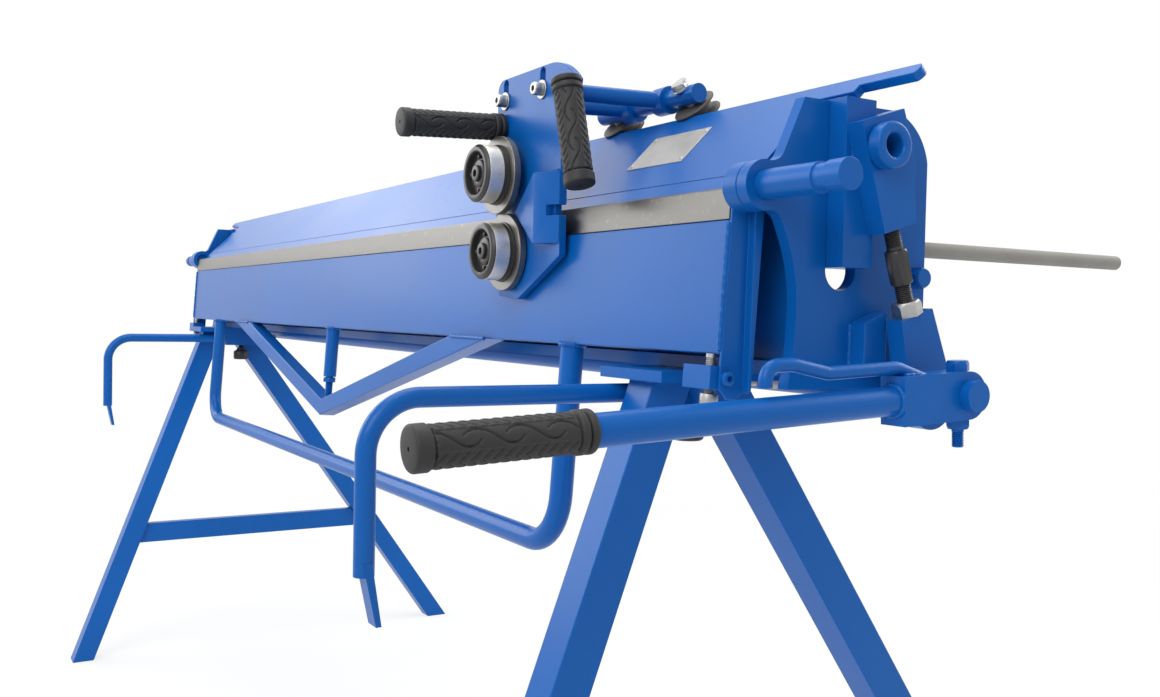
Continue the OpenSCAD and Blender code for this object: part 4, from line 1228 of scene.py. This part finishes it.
class BRAKE_OT_label(bpy.types.Operator):
    """Makes the bare plate on the clamping beam, with a raised rim and four rivets."""

    bl_idname = "brake.label"
    bl_label = "Bare plate"

    # The slope's top over the plate's middle and the way down from it, then sizes, in millimetres
    slope_top = (809, 100.2, 99.5)
    below_top = 57
    width = 96
    height = 52
    thick = 0.6
    # The rim's insets: thickness and rise
    rim = ((1.6, 0.15), (0.5, -0.25))
    # The rivet's profile: radius and height
    rivet = ((2.4, 0), (2.3, 0.4), (1.7, 0.85), (0.8, 1.1))
    rivet_inset = 5
    rivet_foot = 0.45
    lift = 0.02

    def execute(self, context):
        centre = at(*self.slope_top) - UP_SLOPE * self.below_top * MM
        plate = added(bpy.ops.mesh.primitive_plane_add, size=1)
        plate.scale = (self.width * MM, self.height * MM, 1)
        in_place(plate)
        with editing(plate):
            thick = (0, 0, self.thick * MM)
            bpy.ops.mesh.extrude_region_move(TRANSFORM_OT_translate={"value": thick})
            for thickness, depth in self.rim:
                bpy.ops.mesh.inset(thickness=thickness * MM, depth=depth * MM)
        basis = Matrix((RIGHT, UP_SLOPE, OFF_SLOPE)).transposed().to_4x4()
        plate.matrix_world = Matrix.Translation(centre + OFF_SLOPE * self.lift * MM) @ basis
        parts = [face_outwards(in_place(plate))]
        aside = RIGHT * (self.width / 2 - self.rivet_inset) * MM
        along = UP_SLOPE * (self.height / 2 - self.rivet_inset) * MM
        foot = centre + OFF_SLOPE * self.rivet_foot * MM
        for side in (-aside, aside):
            for end in (-along, along):
                parts.append(turned(self.rivet, foot + side + end, OFF_SLOPE, 20))
        obj = smooth(joined(parts), 30.0)
        give(obj, "bare_label_plate", "label", "upper_beam", "nameplate")
        return {"FINISHED"}


class BRAKE_OT_knobs(bpy.types.Operator):
    """Moulds the fluted locking knobs and their screws."""

    bl_idname = "brake.knobs"
    bl_label = "Locking knobs"

    # The right knob's foot, and the flutes: their number, depth as a share of the radius and inner radius
    place = (LEG_X - 35, 56, -230)
    flutes = 12
    flute_depth = 0.055
    flute_from = 14.5
    # The knob's profile in millimetres: radius and height over its foot
    profile = (
        (9, 0), (13.2, 0.3), (15, 1.4), (15.9, 3.4), (15.9, 17.5), (15, 19), (12.4, 20.6), (9.4, 22),
        (8.2, 25.6), (7.6, 27),
    )
    screw_foot = 26.6

    def flute(self, obj, foot):
        """Sinks upright flutes into the knob's rim."""
        for vertex in obj.data.vertices:
            out = Vector((vertex.co.x - foot.x, vertex.co.y - foot.y, 0))
            if out.length > self.flute_from * MM:
                wave = 0.5 + 0.5 * cos(atan2(out.y, out.x) * self.flutes)
                vertex.co -= out * self.flute_depth * wave ** 2

    def execute(self, context):
        foot = at(*self.place)
        knob = turned(self.profile, foot, UP, 120)
        self.flute(knob, foot)
        shank = [(4.6, 0)] + thread(KNOB_THREAD, 0.2, 11) + [(4.9, 12)]
        screw = turned(shank, foot + UP * self.screw_foot * MM, UP, 20)
        pair = both_ends([smooth(joined([knob, screw]), 40.0)])
        for obj, side in zip(pair, ("right", "left")):
            node = "knob_" + side
            give(obj, node + "_fluted", "knob", "lock_" + side, node)
        return {"FINISHED"}


class BRAKE_OT_stage(bpy.types.Operator):
    """Sets the floor, the soft studio light, the white surroundings and the camera."""

    bl_idname = "brake.stage"
    bl_label = "Stage"

    # Each lamp's name, place, width and height in metres, and power in watts
    lamps = (
        ("key", (2.6, -3.4, 3.4), (2.6, 2.6), 98.0),
        ("fill", (-3.2, -2.6, 2.2), (3.0, 2.4), 66.0),
        ("glare", (-6.5, -0.8, 4.4), (4.0, 2.6), 62.0),
        ("rim", (1.2, 3.4, 2.8), (3.0, 1.6), 55.0),
        ("overhead", (0.0, -0.2, 4.0), (4.0, 2.4), 80.0),
    )
    lit_place = Vector((0.2, 0.0, 0.75))
    # The photo's camera: place in millimetres from the fold line, angles in radians, focal length and
    # picture width in pixels, and the sensor in millimetres
    eye = (1732.8, -597.3, -108.2)
    yaw, pitch, roll = 1.0275859, -0.0314594, 0.0214764
    focal, width, sensor = 1111.75, 1160.0, 36.0

    def floor(self):
        floor = added(bpy.ops.mesh.primitive_plane_add, size=60, location=(0, 0, 0))
        floor.name = "floor"
        pale = Finish("pale_floor")
        seen = pale.seen()
        away = pale.add("ShaderNodeVectorMath", {"operation": "LENGTH"}, {0: pale.place()}, out="Value")
        share = pale.eased(away, 1.1, 3.6, 0.74)
        matte = pale.add("ShaderNodeBsdfDiffuse", {}, {"Color": rgba((0.82, 0.82, 0.82))})
        glow = pale.add("ShaderNodeEmission", {}, {"Color": rgba((1, 1, 1)), "Strength": 1.0})
        both = pale.add("ShaderNodeMixShader", {}, {0: seen * share, 1: matte, 2: glow})
        floor.data.materials.append(pale.close(both))

    def surroundings(self):
        studio = Finish("white_studio", bpy.data.worlds)
        soft, white = (
            studio.add("ShaderNodeBackground", {}, {"Color": rgba(colour), "Strength": strength})
            for colour, strength in (((0.95, 0.97, 1.0), 0.55), ((1, 1, 1), 1.0))
        )
        both = studio.add("ShaderNodeMixShader", {}, {0: studio.seen(), 1: soft, 2: white})
        bpy.context.scene.world = studio.close(both, "ShaderNodeOutputWorld")

    def light(self):
        for name, place, (wide, high), power in self.lamps:
            lamp = added(bpy.ops.object.light_add, type="AREA", location=place)
            lamp.name = name + "_lamp"
            lamp.data.shape = "RECTANGLE"
            lamp.data.size = wide
            lamp.data.size_y = high
            lamp.data.energy = power
            lamp.rotation_euler = (self.lit_place - Vector(place)).to_track_quat("-Z", "Y").to_euler()

    def camera(self):
        level = cos(self.pitch)
        ahead = Vector((-sin(self.yaw) * level, cos(self.yaw) * level, sin(self.pitch)))
        right = Vector((cos(self.yaw), sin(self.yaw), 0))
        up = right.cross(ahead)
        right_rolled = right * cos(self.roll) + up * sin(self.roll)
        up_rolled = up * cos(self.roll) - right * sin(self.roll)
        basis = Matrix((right_rolled, up_rolled, -ahead)).transposed().to_4x4()
        camera = added(bpy.ops.object.camera_add)
        camera.name = "photo_camera"
        camera.matrix_world = Matrix.Translation(at(*self.eye)) @ basis
        camera.data.sensor_fit = "HORIZONTAL"
        camera.data.sensor_width = self.sensor
        camera.data.lens = self.focal / self.width * self.sensor
        camera.data.clip_start = 0.01
        camera.data.clip_end = 200.0
        bpy.context.scene.camera = camera

    def execute(self, context):
        context.scene.view_settings.view_transform = "Standard"
        self.floor()
        self.surroundings()
        self.light()
        self.camera()
        return {"FINISHED"}


class BRAKE_PT_panel(bpy.types.Panel):
    """Lists the settings and the steps that dress the brake."""

    bl_idname = "BRAKE_PT_panel"
    bl_label = "Sheet metal brake"
    bl_space_type = "VIEW_3D"
    bl_region_type = "UI"
    bl_category = "Brake"

    def draw(self, context):
        for group in (context.scene.brake_sizes, context.scene.brake_colours):
            for name in group.bl_rna.properties.keys():
                if name not in {"rna_type", "name"}:
                    self.layout.prop(group, name)
        for step in STEPS:
            self.layout.operator(step.bl_idname)


STEPS = (
    BRAKE_OT_finishes, BRAKE_OT_steelwork, BRAKE_OT_blades, BRAKE_OT_grips, BRAKE_OT_lever_hook,
    BRAKE_OT_rollers, BRAKE_OT_roller_bolts, BRAKE_OT_pulleys, BRAKE_OT_fasteners, BRAKE_OT_tension_rods,
    BRAKE_OT_welds, BRAKE_OT_label, BRAKE_OT_knobs, BRAKE_OT_stage,
)
CLASSES = (BrakeSizes, BrakeColours) + STEPS + (BRAKE_PT_panel,)


def register():
    for cls in CLASSES:
        bpy.utils.register_class(cls)
    bpy.types.Scene.brake_sizes = bpy.props.PointerProperty(type=BrakeSizes)
    bpy.types.Scene.brake_colours = bpy.props.PointerProperty(type=BrakeColours)


def unregister():
    del bpy.types.Scene.brake_colours
    del bpy.types.Scene.brake_sizes
    for cls in reversed(CLASSES):
        bpy.utils.unregister_class(cls)


def main():
    register()
    for step in STEPS:
        name = step.bl_idname.split(".")[1]
        if getattr(bpy.ops.brake, name)() != {"FINISHED"}:
            raise RuntimeError(step.bl_label + " did not finish")


if __name__ == "__main__":
    main()
